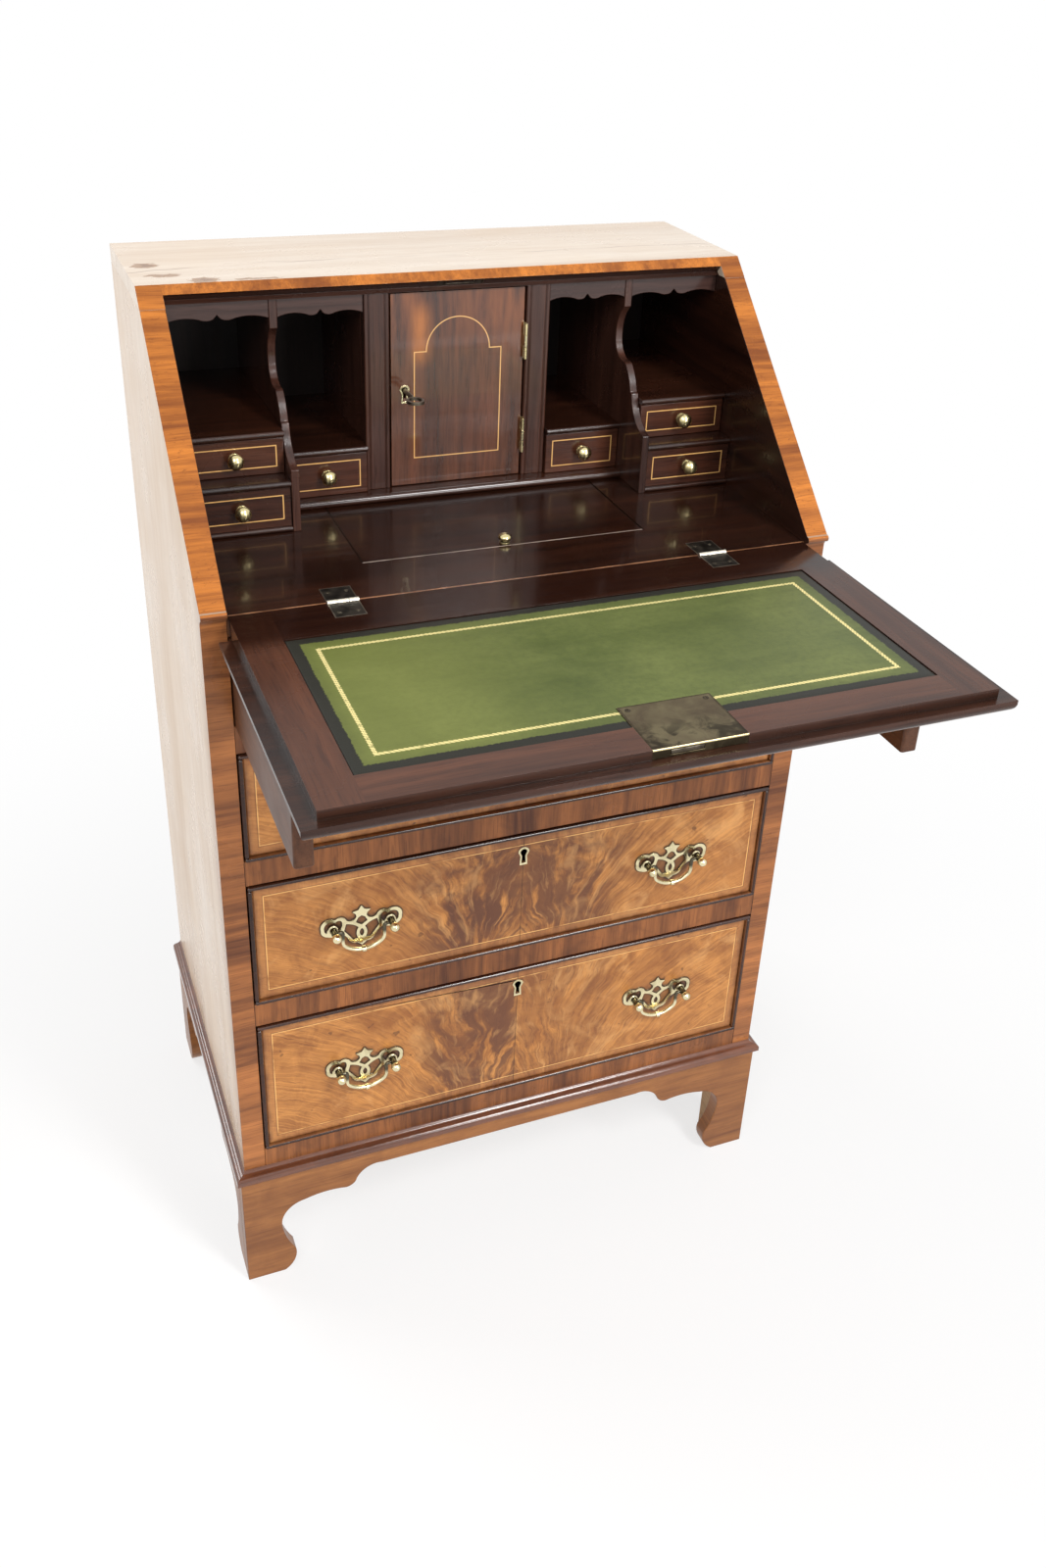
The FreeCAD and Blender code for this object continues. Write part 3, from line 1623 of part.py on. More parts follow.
# Small drawers: thin boards, each front with a turned knob
def small_drawer(name, x_low, x_high, face, foot, height):
    low = x_low + " + small_gap"
    high = x_high + " - small_gap"
    sill = foot + " + run_gap"
    head = "%s + %s - small_gap" % (foot, height)
    back_face = face + " + small_front"
    end = "rear - small_rear_gap"
    side_head = head + " - 2"
    floor_top = sill + " + 1 + small_bottom"
    boards = [span(low, high, face, back_face, sill, head)]
    for start in (low, high + " - small_board"):
        boards.append(span(start, start + " + small_board", back_face, end, sill, side_head))
    inside_low = low + " + small_board"
    inside_high = high + " - small_board"
    boards.append(span(inside_low, inside_high, back_face, end, sill + " + 1", floor_top))
    boards.append(span(inside_low, inside_high, end + " - small_board", end, floor_top, side_head))
    node("small_drawer_%s" % name, *boards)
    middle = "((%s) + (%s)) / 2" % (x_low, x_high)
    node("small_knob_%s" % name, turned(knob_profile(), middle, face, "((%s) + (%s)) / 2" % (sill, head)))


def small_drawers():
    for name, sign in SIDES:
        low, high = at_side(sign, "divider_outer", "inner")
        small_drawer(name + "_lower", low, high, "stack_front", "stack_floor", "lower_drawer")
        small_drawer(name + "_upper", low, high, "upper_front", "upper_floor", "upper_drawer")
        low, high = at_side(sign, "pilaster_outer", "divider_place")
        small_drawer(name + "_single", low, high, "single_front", "base_top", "single_drawer")


carcass_sides()
top_board()
carcass_boards()
writing_bed()
well()
base_moulding()
bracket_plinth()
gallery()
pilasters()
strike_plate()
fixed_leaves = fall_hinges() + door_hinges()
node("fixed_hinge_leaves", *fixed_leaves)
fall()
fall_lock()
lopers()
prospect_door()
for name, foot, head in (
    ("one", "one_foot", "one_head"),
    ("two", "two_foot", "two_head"),
    ("three", "three_foot", "three_head"),
):
    long_drawer(name, foot, head)
small_drawers()
doc.recompute()

for item in doc.Objects:
    if "Invalid" in item.State or "Error" in item.State:
        raise RuntimeError("%s failed: %s" % (item.Label, item.State))
os.makedirs("parts", exist_ok=True)
for whole in nodes:
    shape = whole.Shape
    if shape.isNull() or not shape.isValid() or not shape.Solids:
        raise RuntimeError("%s is not a sound solid" % whole.Label)
    shape.exportStep("parts/%s.step" % whole.Label)
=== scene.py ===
import math

import bmesh
import bpy
from mathutils import Matrix, Vector, noise


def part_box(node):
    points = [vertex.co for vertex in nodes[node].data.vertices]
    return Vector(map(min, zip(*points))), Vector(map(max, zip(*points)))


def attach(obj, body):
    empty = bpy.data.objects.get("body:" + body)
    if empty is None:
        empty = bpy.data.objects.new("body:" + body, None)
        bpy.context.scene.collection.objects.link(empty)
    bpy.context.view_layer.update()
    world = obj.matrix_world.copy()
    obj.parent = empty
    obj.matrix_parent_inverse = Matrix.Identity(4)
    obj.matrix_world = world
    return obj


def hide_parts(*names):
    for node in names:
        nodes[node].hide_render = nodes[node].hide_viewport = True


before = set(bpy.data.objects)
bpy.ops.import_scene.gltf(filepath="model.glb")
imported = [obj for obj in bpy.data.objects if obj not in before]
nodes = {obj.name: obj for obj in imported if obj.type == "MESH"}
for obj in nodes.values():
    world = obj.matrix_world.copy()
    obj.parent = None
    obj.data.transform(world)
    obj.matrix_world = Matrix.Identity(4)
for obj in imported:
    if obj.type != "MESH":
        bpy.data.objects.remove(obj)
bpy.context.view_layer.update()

scene = bpy.context.scene

SIDES = ("left", "right")
LEVELS = ("lower", "upper", "single")
# Long drawers: levels of handles and keyhole, and how smoky the flame is, left and right
DRAWERS = {
    "one": (0.5735, 0.6045, (0.8, 0.75)),
    "two": (0.426, 0.4695, (0.95, 0.85)),
    "three": (0.25425, 0.3095, (0.9, 0.4)),
}

# Woods, each from dark to light
GOLDEN = (
    (0.11, 0.038, 0.019),
    (0.29, 0.105, 0.026),
    (0.565, 0.24, 0.06),
    (0.72, 0.38, 0.135),
)
FRAME = ((0.11, 0.033, 0.011), (0.44, 0.158, 0.043))
RAIL = ((0.075, 0.022, 0.008), (0.33, 0.116, 0.032))
PLINTH = ((0.155, 0.051, 0.015), (0.4, 0.162, 0.046))
SLOPE = ((0.22, 0.058, 0.009), (0.68, 0.225, 0.034))
BLEACHED_AND_GLARE = ((0.6, 0.42, 0.27), (0.8, 0.64, 0.49))
PALE_TOP_AND_GLARE = ((0.68, 0.52, 0.38), (0.88, 0.76, 0.63))
MAHOGANY = ((0.009, 0.0032, 0.0022), (0.05, 0.016, 0.008))
UPRIGHT = ((0.018, 0.007, 0.0055), (0.085, 0.033, 0.021))
VALANCE = ((0.026, 0.012, 0.0095), (0.09, 0.043, 0.034))
SMALL_FRONT = ((0.018, 0.006, 0.004), (0.1, 0.032, 0.016))
COVER_WOOD = ((0.01, 0.0035, 0.0025), (0.055, 0.018, 0.009))
FALL_WOOD = ((0.035, 0.012, 0.007), (0.125, 0.043, 0.02))
FALL_LIP = (MAHOGANY[0], (0.06, 0.022, 0.012))
DOOR_WOOD = ((0.022, 0.0065, 0.0035), (0.13, 0.04, 0.017))
MOULDING = ((0.06, 0.017, 0.008), (0.22, 0.072, 0.03))
DRAWER_BAND = ((0.25, 0.09, 0.03), (0.56, 0.25, 0.082))
COCK_BEAD = ((0.012, 0.004, 0.003), (0.062, 0.02, 0.009))
LOPER = ((0.042, 0.015, 0.007), (0.14, 0.054, 0.023))
INSIDE = ((0.3, 0.17, 0.08), (0.52, 0.34, 0.19))
BACK_STAIN_AND_SHADE = ((0.004, 0.002, 0.0015), (0.014, 0.006, 0.004))
BOXWOOD = (0.84, 0.47, 0.16)
EBONY = (0.012, 0.007, 0.005)

# Wear, stains and soiling on wood, with painted shade and highlights
DIRT_AND_SHADE = (0.035, 0.013, 0.007)
TORN = (0.36, 0.19, 0.085)
TORN_DEEP = (0.19, 0.095, 0.048)
CRACK = (0.22, 0.1, 0.045)
VENEER_EDGE = (0.12, 0.04, 0.015)
SCRATCH = (0.05, 0.019, 0.009)
KNOCK = (0.09, 0.034, 0.014)
HANDLE_STAIN_AND_SHADE = (0.085, 0.03, 0.013)
HANDLE_DIRT_AND_SHADE = (0.02, 0.008, 0.005)
KEYHOLE_SHADE = (0.002, 0.002, 0.002)
BED_ARRIS_AND_HIGHLIGHT = (0.42, 0.19, 0.09)
COVER_ARRIS_AND_HIGHLIGHT = (0.62, 0.5, 0.42)
DOOR_GLOW = (0.25, 0.078, 0.024)
DOOR_PATCH = (0.46, 0.15, 0.03)
FALL_BACK_SHADE = (0.014, 0.0045, 0.003)
BACK_MIDDLE = (0.2, 0.105, 0.045)
BACK_RIGHT = (0.5, 0.34, 0.2)
BACK_STAIN = (0.14, 0.072, 0.034)
BACK_RIM = (0.1, 0.05, 0.025)

# Leather
HIDE = ((0.082, 0.108, 0.022), (0.178, 0.206, 0.06))
HIDE_WIPED = (0.055, 0.075, 0.016)
HIDE_MOTTLE = (0.05, 0.066, 0.017)
HIDE_FADED_AND_SHEEN = (0.23, 0.25, 0.055)
HIDE_SHADE = (0.045, 0.055, 0.014)
HIDE_BORDER = (0.012, 0.011, 0.009)
GOLD = (0.94, 0.8, 0.34)

# Metals
BRASS = (0.82, 0.73, 0.46)
PALE_BRASS = (0.72, 0.62, 0.33)
BAIL_BRASS = (0.84, 0.76, 0.5)
TARNISH = (0.3, 0.23, 0.1)
BRASS_DIRT = (0.035, 0.024, 0.012)
BRONZE = (0.16, 0.135, 0.1)
BRONZE_DARK = (0.04, 0.034, 0.026)
BLACKENED = (0.03, 0.026, 0.022)
LOCK_CAP = ((0.21, 0.175, 0.1), (0.13, 0.1, 0.064))
LOCK_STAIN = (0.035, 0.028, 0.018)
LOCK_RIM = (0.04, 0.03, 0.018)
LOCK_ARRIS_AND_HIGHLIGHT = (0.93, 0.76, 0.42)
HINGE_WORN = (0.085, 0.072, 0.056)
HINGE_RIM = (0.26, 0.22, 0.17)
HINGE_KNUCKLE = (0.86, 0.8, 0.66)
DOOR_HINGE = (0.8, 0.68, 0.38)
OLD_STEEL = (0.2, 0.17, 0.13)
SCREW_STEEL = (0.1, 0.085, 0.06)
RUST = (0.05, 0.04, 0.03)

# Places and lengths on the CAD pieces, in metres
CASE_THICK = 0.021
# The top's front edge as Y and Z, and the way its slope faces
TOP_EDGE = (0.1527, 0.941)
SLOPE_WAY = (-0.68, 0.73)
# Torn veneer at the top's front left corner: middle and half size along X and Y
TOP_CHIPS = (
    ((-0.252, 0.199), (0.015, 0.006)),
    ((-0.223, 0.178), (0.014, 0.008)),
    ((-0.262, 0.236), (0.013, 0.01)),
    ((-0.178, 0.174), (0.02, 0.004)),
)
CRACK_BACK = 0.118
CRACK_WIDTH = 0.0016
STRING = 0.0009
STRING_INSET = 0.0135
SMALL_STRING_INSET = 0.0068
BEAD = 0.004
HANDLE_X = 0.157
# The stain and painted shade round a handle: half size, and how far it hangs below the handle's
# level
HANDLE_SHADE = (0.036, 0.015)
HANDLE_DROP = 0.003
KEYHOLE_HALF = (0.0062, 0.012)
COVER_HALF = 0.1302
# The door's arched string: half width, foot, shoulder and the arch's radius
DOOR_HALF = 0.0415
DOOR_FOOT = 0.7865
DOOR_SHOULDER = 0.886
DOOR_ARCH = 0.0302
DOOR_PATCH_AT = (-0.034, 0.902)
FALL_ENDS = 0.2255
FALL_STRING = 0.0012
FALL_STRING_INSET = 0.042
# Levels between which the fall's lip gives way to its raised face
FALL_STEP = (0.7455, 0.7475)
GOLD_INSET = 0.0212
GOLD_SWAY = 0.001
# Y between which a handle's post is a bare shaft
POST_SHAFT = (-0.0424, -0.0535)
BAIL_NECK = 0.012
HINGE_X = 0.166
HINGE_HALF = 0.013
HINGE_REACH = (-0.0663, -0.0123)
KNUCKLE_LEVELS = (0.7522, 0.7527)
# Y beyond which a hinge belongs to the door
DOOR_HINGE_FROM = (0.1, 0.11)
BACK_JOINT = 0.0022

# Screws: heights of the head's rings in radii, with their shrink towards each half's heart
SCREW_RINGS = ((1.0, -0.3), (1.0, 0.06), (0.8, 0.2), (0.4, 0.27))
SCREW_STEPS = 12
SCREW_SLOT = 0.15
SCREW_HEART = 0.45
SCREW_SEAT = -0.05
LOCK_SCREW = 0.0023
LOCK_SCREW_INSET = 0.006
HINGE_SCREW = 0.0018
HINGE_SCREW_SHIFTS = (-0.0075, 0.0075)
# The body under each leaf, and Y of the leaf's screws
HINGE_SCREWS = {"bed": ("carcass", -0.0205), "fall": ("fall", -0.0581)}

# The leather's sheet: steps along X and Y, play round the lock, and its rounded rim
HIDE_STEPS = (150, 66)
HIDE_SLACK = 0.0003
HIDE_RIM = 0.001
HIDE_RIM_DROP = 0.00025
# Unevenness of the hide: waves per metre, place in the noise, and height
HIDE_RIPPLES = ((22.0, 0.4, 0.00008), (85.0, 2.0, 0.00004))

# Widths of broken edges
EDGE_BEAD = 0.0018
EDGE_CASE = 0.0008
EDGE_BOARD = 0.0006
EDGE_FINE = 0.0005
EDGE_CAP = 0.0004
EDGE_PIERCED = 0.00035
EDGE_METAL = 0.0003
EDGE_KNOB = 0.0002
# Distance for welding, and angles for flattening and splitting faces
WELD_GAP = 0.000004
FLAT_ANGLE = math.radians(0.3)
SPLIT_ANGLE = math.radians(179.0)

# Wood grain: stretch along the fibre, sway across it, dark of the pores and their depth
GRAIN_STRETCH = 0.045
GRAIN_SWAY = 0.012
PORE_DARK = 0.45
PORE_DEPTH = 0.00003
FINE_PORE_DEPTH = 0.00002
GLOSS_GAIN = 0.18
PLAIN_ROUGH = 0.35
# Crotch flame: how fast strokes spread per metre of height, where they fade, and their core
FLAME_FAN = 11.0
FLAME_REACH = (0.026, 0.085)
DRAWER_CORE = 0.044
FALL_CORE = 0.06
FALL_SEED = 3.0
FALL_SMOKE = 0.9

# Studio: the floor's size, shade and the ring where it turns white, and the sky's fill
FLOOR_SIZE = 30.0
FLOOR_GREY = 0.92
FLOOR_ROUGH = 0.8
FLOOR_FADE = (0.4, 1.3)
FLOOR_WHITE = (0.7, 1.0)
SKY_FILL = 0.32
# Lamps: place, the point they face, width and height, and watts
LAMPS = {
    "key": ((-1.3, -1.95, 2.5), (0.0, 0.05, 0.5), (1.5, 1.5), 32.0),
    "window": ((0.85, -2.5, 1.1), (0.0, 0.05, 0.6), (0.7, 0.7), 20.0),
    "upper_window": ((1.1, -2.4, 3.1), (0.0, 0.05, 0.5), (0.6, 1.3), 70.0),
    "back": ((-1.6, 1.9, 2.3), (0.0, 0.15, 0.9), (1.8, 1.2), 42.0),
}
# The photograph's camera: place, axes, sensor and lens in millimetres, and shift
EYE_PLACE = (-0.42142, -1.04426, 1.25546)
EYE_RIGHT = Vector((0.9290973, -0.3675282, 0.0412472))
EYE_DOWN = Vector((-0.1471477, -0.4696776, -0.8704887))
EYE_AHEAD = Vector((0.3393020, 0.8026992, -0.4904571))
EYE_SENSOR = 36.0
EYE_LENS = 32.81
EYE_SHIFT = (-0.0073, -0.0595)
EYE_NEAR = 0.05


class Shade:
    """A material whose node tree is built up step by step, in the row's own metres."""

    def __init__(self, name, metal=0.0, coat=0.0, coat_rough=0.12, specular=0.5):
        self.material = bpy.data.materials.new(name)
        self.material.use_nodes = True
        self.tree = self.material.node_tree
        self.shader = self.tree.nodes["Principled BSDF"]
        self.set("Roughness", PLAIN_ROUGH)
        self.set("Metallic", metal)
        self.set("Coat Weight", coat)
        self.set("Coat Roughness", coat_rough)
        self.set("Specular IOR Level", specular)
        self.spot = self.new("ShaderNodeTexCoord")
        self.where = self.spot.outputs["Object"]

    def new(self, kind):
        return self.tree.nodes.new(kind)

    def feed(self, source, socket):
        if isinstance(source, bpy.types.NodeSocket):
            self.tree.links.new(source, socket)
        else:
            socket.default_value = source

    def fill(self, node, *sources):
        """Feeds a node's first sockets in turn."""
        for source, socket in zip(sources, node.inputs):
            self.feed(source, socket)

    def set(self, name, source):
        self.feed(source, self.shader.inputs[name])

    def apart(self, vector):
        parts = self.new("ShaderNodeSeparateXYZ")
        self.fill(parts, vector)
        return tuple(parts.outputs)

    def at(self):
        """X, Y and Z on the piece, in metres."""
        return self.apart(self.where)

    def facing(self):
        """X, Y and Z of the surface's own normal."""
        return self.apart(self.spot.outputs["Normal"])

    def math(self, operation, first, second=0.0, third=0.0):
        step = self.new("ShaderNodeMath")
        step.operation = operation
        self.fill(step, first, second, third)
        return step.outputs[0]

    def both(self, *shares):
        """The product of all shares."""
        product = shares[0]
        for share in shares[1:]:
            product = self.math("MULTIPLY", product, share)
        return product

    def off(self, value, middle):
        """How far a value lies from a middle, either way."""
        return self.math("ABSOLUTE", self.math("SUBTRACT", value, middle))

    def ring(self, u, v, middle, half):
        """The square of the distance from an ellipse's middle, 1 at its edge."""
        aside = self.both(self.off(u, middle[0]), 1.0 / half[0])
        along = self.both(self.off(v, middle[1]), 1.0 / half[1])
        return self.math("ADD", self.both(aside, aside), self.both(along, along))

    def join(self, x, y, z):
        whole = self.new("ShaderNodeCombineXYZ")
        self.fill(whole, x, y, z)
        return whole.outputs[0]

    def noise(self, vector, scale, detail=4.0, rough=0.5, warp=0.0):
        cloud = self.new("ShaderNodeTexNoise")
        self.feed(vector, cloud.inputs["Vector"])
        self.feed(scale, cloud.inputs["Scale"])
        self.feed(detail, cloud.inputs["Detail"])
        self.feed(rough, cloud.inputs["Roughness"])
        self.feed(warp, cloud.inputs["Distortion"])
        return cloud.outputs["Fac"]

    def span(self, value, low, high, start=0.0, end=1.0, soft=False):
        """The value mapped from low..high to start..end and held there."""
        step = self.new("ShaderNodeMapRange")
        if soft:
            step.interpolation_type = "SMOOTHSTEP"
        self.fill(step, value, low, high, start, end)
        return step.outputs[0]

    def mix(self, share, first, second):
        blend = self.new("ShaderNodeMix")
        blend.data_type = "RGBA"
        self.feed(share, blend.inputs[0])
        for colour, socket in ((first, blend.inputs[6]), (second, blend.inputs[7])):
            if isinstance(colour, tuple):
                colour = colour + (1.0,)
            self.feed(colour, socket)
        return blend.outputs[2]

    def bump(self, height, depth, strength=1.0):
        """Relief of a height map, its full range as deep as the depth in metres."""
        relief = self.new("ShaderNodeBump")
        self.feed(height, relief.inputs["Height"])
        self.feed(strength, relief.inputs["Strength"])
        self.feed(depth, relief.inputs["Distance"])
        self.set("Normal", relief.outputs["Normal"])

    def nook(self, reach, samples=6, local=True):
        """1 in inner corners, the piece's own or also its neighbours', 0 in the open."""
        shelter = self.new("ShaderNodeAmbientOcclusion")
        shelter.samples = samples
        shelter.only_local = local
        self.feed(reach, shelter.inputs["Distance"])
        return self.math("SUBTRACT", 1.0, shelter.outputs["AO"])

    def line(self, distance, place, width):
        """1 in a narrow line where a distance equals a place."""
        return self.span(self.off(distance, place), width * 0.7, width * 0.35)

    def frame_depth(self, u, v, low, high):
        """How far a point lies inside a rectangle's edge."""
        from_u = self.off(u, (low[0] + high[0]) / 2)
        from_v = self.off(v, (low[1] + high[1]) / 2)
        in_u = self.math("SUBTRACT", (high[0] - low[0]) / 2, from_u)
        in_v = self.math("SUBTRACT", (high[1] - low[1]) / 2, from_v)
        return self.math("MINIMUM", in_u, in_v)

    def pores(self, colour, pore, dark):
        """The colour, darkened where the pore height is low."""
        return self.mix(self.math("MULTIPLY_ADD", pore, -PORE_DARK, PORE_DARK), colour, dark)

    def grain(self, along, palette, fine=1.0, contrast=1.0, seed=0.0):
        """Straight wood: the colour, and a height for its pores."""
        sway = self.noise(self.where, 6.0, 2.0, 0.5)
        parts = []
        for axis, part in zip("xyz", self.at()):
            if axis == along:
                parts.append(self.math("MULTIPLY_ADD", part, GRAIN_STRETCH, seed))
            else:
                parts.append(self.math("MULTIPLY_ADD", sway, GRAIN_SWAY, part))
        lengthwise = self.join(*parts)
        streak = self.noise(lengthwise, 120.0 * fine, 7.0, 0.62, 0.25)
        broad = self.noise(lengthwise, 17.0 * fine, 3.0, 0.5, 0.8)
        tone = self.math("MULTIPLY_ADD", broad, 0.5, self.both(streak, 0.5))
        spread = 0.15 / contrast
        tone = self.span(tone, 0.5 - spread, 0.5 + spread)
        colour = self.mix(tone, palette[0], palette[1])
        pore = self.span(self.noise(lengthwise, 700.0 * fine, 2.0, 0.5), 0.34, 0.46)
        return self.pores(colour, pore, palette[0]), pore

    def tint(self, along, palette, fine=1.0, contrast=1.0, seed=0.0):
        """Straight wood's colour alone."""
        return self.grain(along, palette, fine, contrast, seed)[0]

    def flame(self, flat, away, up, seed, core, share, palette):
        """Crotch figure: feathered strokes fanning upward from a core, with smoky patches."""
        deep, dark, light, bright = palette
        sway = self.math("SUBTRACT", self.noise(flat, 12.0, 3.0, 0.55), 0.5)
        shiver = self.math("SUBTRACT", self.noise(flat, 55.0, 4.0, 0.6), 0.5)
        aside = self.math("MULTIPLY_ADD", sway, 0.045, self.math("SUBTRACT", away, core))
        aside = self.math("MULTIPLY_ADD", shiver, 0.006, aside)
        lift = self.math("MULTIPLY_ADD", shiver, 0.01, up)
        fan = self.math("POWER", math.e, self.both(lift, -FLAME_FAN))
        line = self.both(aside, fan)
        near = self.span(self.math("ABSOLUTE", aside), *FLAME_REACH, 1.0, 0.0, True)

        def strokes(stretch, shift, *look):
            return self.noise(self.join(line, self.both(lift, stretch), seed + shift), *look)

        cloud = self.noise(flat, 34.0, 6.0, 0.64, 0.8)
        hair = strokes(0.1, 0.0, 240.0, 5.0, 0.6, 0.2)
        tone = self.math("MULTIPLY_ADD", cloud, 0.52, self.both(hair, 0.48))
        colour = self.mix(self.span(tone, 0.41, 0.6), dark, light)
        smoke = strokes(0.4, 3.1, 44.0, 6.0, 0.64, 0.8)
        smoke = self.both(self.span(smoke, 0.36, 0.55, soft=True), near, share)
        colour = self.mix(smoke, colour, deep)
        stroke = self.span(strokes(0.2, 7.7, 130.0, 4.0, 0.55, 0.4), 0.55, 0.7)
        stroke = self.both(stroke, self.span(near, 0.0, 1.0, 0.12, 0.42))
        colour = self.mix(stroke, colour, bright)
        pore = self.span(strokes(0.08, 0.0, 800.0, 2.0, 0.5), 0.33, 0.45)
        return self.pores(colour, pore, deep), pore

    def corner_dirt_and_shade(self, colour, reach, share, tint):
        """Darker in the inner corners: old wax and soiling, and painted shade."""
        dirt_and_shade = self.span(self.nook(reach), 0.12, 0.7, 0.0, share)
        return self.mix(dirt_and_shade, colour, tint)


def polish(shade, colour, pore, rough, depth=FINE_PORE_DEPTH, gloss=None):
    """The wood's material: its colour, pores and an uneven wax, glossier where asked."""
    shade.set("Base Color", colour)
    patches = shade.noise(shade.where, 8.0, 5.0, 0.6)
    level = shade.span(patches, 0.32, 0.68, *rough)
    if gloss is not None:
        level = shade.math("MULTIPLY_ADD", gloss, -GLOSS_GAIN, level)
    shade.set("Roughness", level)
    shade.bump(pore, depth)
    return shade.material


def plain_wood(name, along, palette, rough, coat=0.0, contrast=1.0, dirt_and_shade=0.0):
    """Straight wood, mottled, and darkened in its corners by soiling and painted shade where
    asked.
    """
    shade = Shade(name, coat=coat, specular=0.28)
    colour, pore = shade.grain(along, palette, 1.0, contrast)
    if dirt_and_shade:
        mottle = shade.noise(shade.where, 30.0, 5.0, 0.62, 0.6)
        colour = shade.mix(shade.span(mottle, 0.5, 0.75, 0.0, 0.6), colour, palette[0])
        # Soiling and painted shade in the inner corners
        colour = shade.corner_dirt_and_shade(colour, 0.008, dirt_and_shade, DIRT_AND_SHADE)
    return polish(shade, colour, pore, rough, PORE_DEPTH)


def faced_wood(name, palette, rough, coat, dirt_and_shade):
    """Grain along the front and along the sides, darkened in the corners by soiling and painted
    shade.
    """
    shade = Shade(name, coat=coat, coat_rough=0.08, specular=0.3)
    front, pore = shade.grain("x", palette, 0.9)
    side = shade.tint("y", palette, 0.9, seed=0.9)
    nx, _, _ = shade.facing()
    aside = shade.span(shade.math("ABSOLUTE", nx), 0.6, 0.75)
    colour = shade.mix(aside, front, side)
    mottle = shade.noise(shade.where, 28.0, 4.0, 0.6, 0.6)
    colour = shade.mix(shade.span(mottle, 0.45, 0.75, 0.0, 0.5), colour, palette[0])
    # Soiling and painted shade in the inner corners
    colour = shade.corner_dirt_and_shade(colour, 0.01, dirt_and_shade, DIRT_AND_SHADE)
    return polish(shade, colour, pore, rough, PORE_DEPTH)


def case_wood(node, inner_sign):
    """A carcass side: outer face pale from the sun and paler still as painted glare, crossbanded
    front edge, dark inner face, soiling and painted shade in the corners.
    """
    low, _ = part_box(node)
    shade = Shade(node + "_wood", coat=0.15, coat_rough=0.16, specular=0.28)
    nx, ny, nz = shade.facing()
    x, y, z = shade.at()
    # Sun-paled walnut, made paler still as painted glare
    outer, pore = shade.grain("z", BLEACHED_AND_GLARE, 0.8, 0.8)
    band = shade.tint("x", FRAME, 1.2, 1.1, 0.7)
    slope = shade.tint("x", SLOPE, 1.3, 1.1, 1.3)
    streak = shade.noise(shade.join(shade.both(x, 0.2), y, z), 24.0, 5.0, 0.66, 0.3)
    slope = shade.mix(shade.span(streak, 0.52, 0.72, 0.0, 0.6), slope, SLOPE[0])
    speck = shade.noise(shade.join(shade.both(x, 0.4), y, z), 420.0, 3.0, 0.6)
    slope = shade.mix(shade.span(speck, 0.6, 0.7, 0.0, 0.6), slope, SLOPE[0])
    dark = shade.tint("y", MAHOGANY, seed=2.1)
    forward = shade.span(ny, -0.4, -0.5)
    sloped = shade.both(forward, shade.span(nz, 0.3, 0.5))
    inward = shade.span(shade.both(nx, inner_sign), 0.4, 0.6)
    cloud = shade.noise(shade.where, 5.0, 3.0, 0.5)
    edge = shade.math("MULTIPLY_ADD", cloud, 0.06, y)
    worn = shade.span(edge, low.y + 0.03, low.y + 0.075, 0.5, 0.0, True)
    outer = shade.mix(worn, outer, band)
    colour = shade.mix(forward, outer, band)
    colour = shade.mix(sloped, colour, slope)
    colour = shade.mix(inward, colour, dark)
    # Soiling and painted shade in the inner corners
    colour = shade.corner_dirt_and_shade(colour, 0.008, 0.7, DIRT_AND_SHADE)
    return polish(shade, colour, pore, (0.2, 0.4))


def top_wood():
    """The top: pale from the sun and paler still as painted glare, chipped at a corner and
    cracked, crossband on the bevel, dark below.
    """
    low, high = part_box("top_board")
    shade = Shade("top_walnut", coat=0.15, coat_rough=0.15, specular=0.3)
    _, ny, nz = shade.facing()
    x, y, z = shade.at()
    # Sun-paled walnut, made paler still as painted glare
    face, pore = shade.grain("x", PALE_TOP_AND_GLARE, 0.8, 0.8)
    spread = shade.join(x, y, 0.0)
    torn = shade.noise(shade.join(shade.both(x, 0.6), y, 0.3), 95.0, 4.0, 0.62, 0.8)
    for middle, half in TOP_CHIPS:
        ring = shade.math("SQRT", shade.ring(x, y, middle, half))
        ring = shade.math("MULTIPLY_ADD", torn, 2.6, ring)
        face = shade.mix(shade.span(ring, 2.25, 2.05, 0.0, 0.9), face, TORN)
        face = shade.mix(shade.span(ring, 1.7, 1.5, 0.0, 0.6), face, TORN_DEEP)
    crack_at = shade.math("MULTIPLY_ADD", shade.noise(spread, 3.0, 4.0, 0.6), 0.09, y)
    crack = shade.line(crack_at, low.y + CRACK_BACK, CRACK_WIDTH)
    broken = shade.span(shade.noise(spread, 9.0, 2.0), 0.46, 0.54)
    face = shade.mix(shade.both(crack, broken, 0.6), face, CRACK)
    slope = shade.tint("y", SLOPE, 1.3, 1.1, 1.3)
    mitred = shade.tint("x", SLOPE, 1.3, 1.1, 1.3)
    downhill = shade.join(x, shade.both(y, 0.2), shade.both(z, 0.2))
    streak = shade.noise(downhill, 24.0, 5.0, 0.66, 0.3)
    slope = shade.mix(shade.span(streak, 0.52, 0.66, 0.0, 0.8), slope, SLOPE[0])
    end = shade.math("SUBTRACT", high.x - CASE_THICK, shade.math("ABSOLUTE", x))
    slope = shade.mix(shade.span(end, 0.0003, -0.0003), slope, mitred)
    dark = shade.tint("x", MAHOGANY)
    forward = shade.span(ny, -0.4, -0.5)
    below = shade.span(nz, -0.4, -0.5)
    rise = shade.both(shade.math("SUBTRACT", z, TOP_EDGE[1]), SLOPE_WAY[1])
    run = shade.math("SUBTRACT", y, TOP_EDGE[0])
    depth = shade.math("MULTIPLY_ADD", run, SLOPE_WAY[0], rise)
    outer = shade.span(depth, -0.0024, -0.0018)
    colour = shade.mix(forward, face, shade.mix(outer, dark, slope))
    colour = shade.mix(below, colour, dark)
    return polish(shade, colour, pore, (0.2, 0.4))


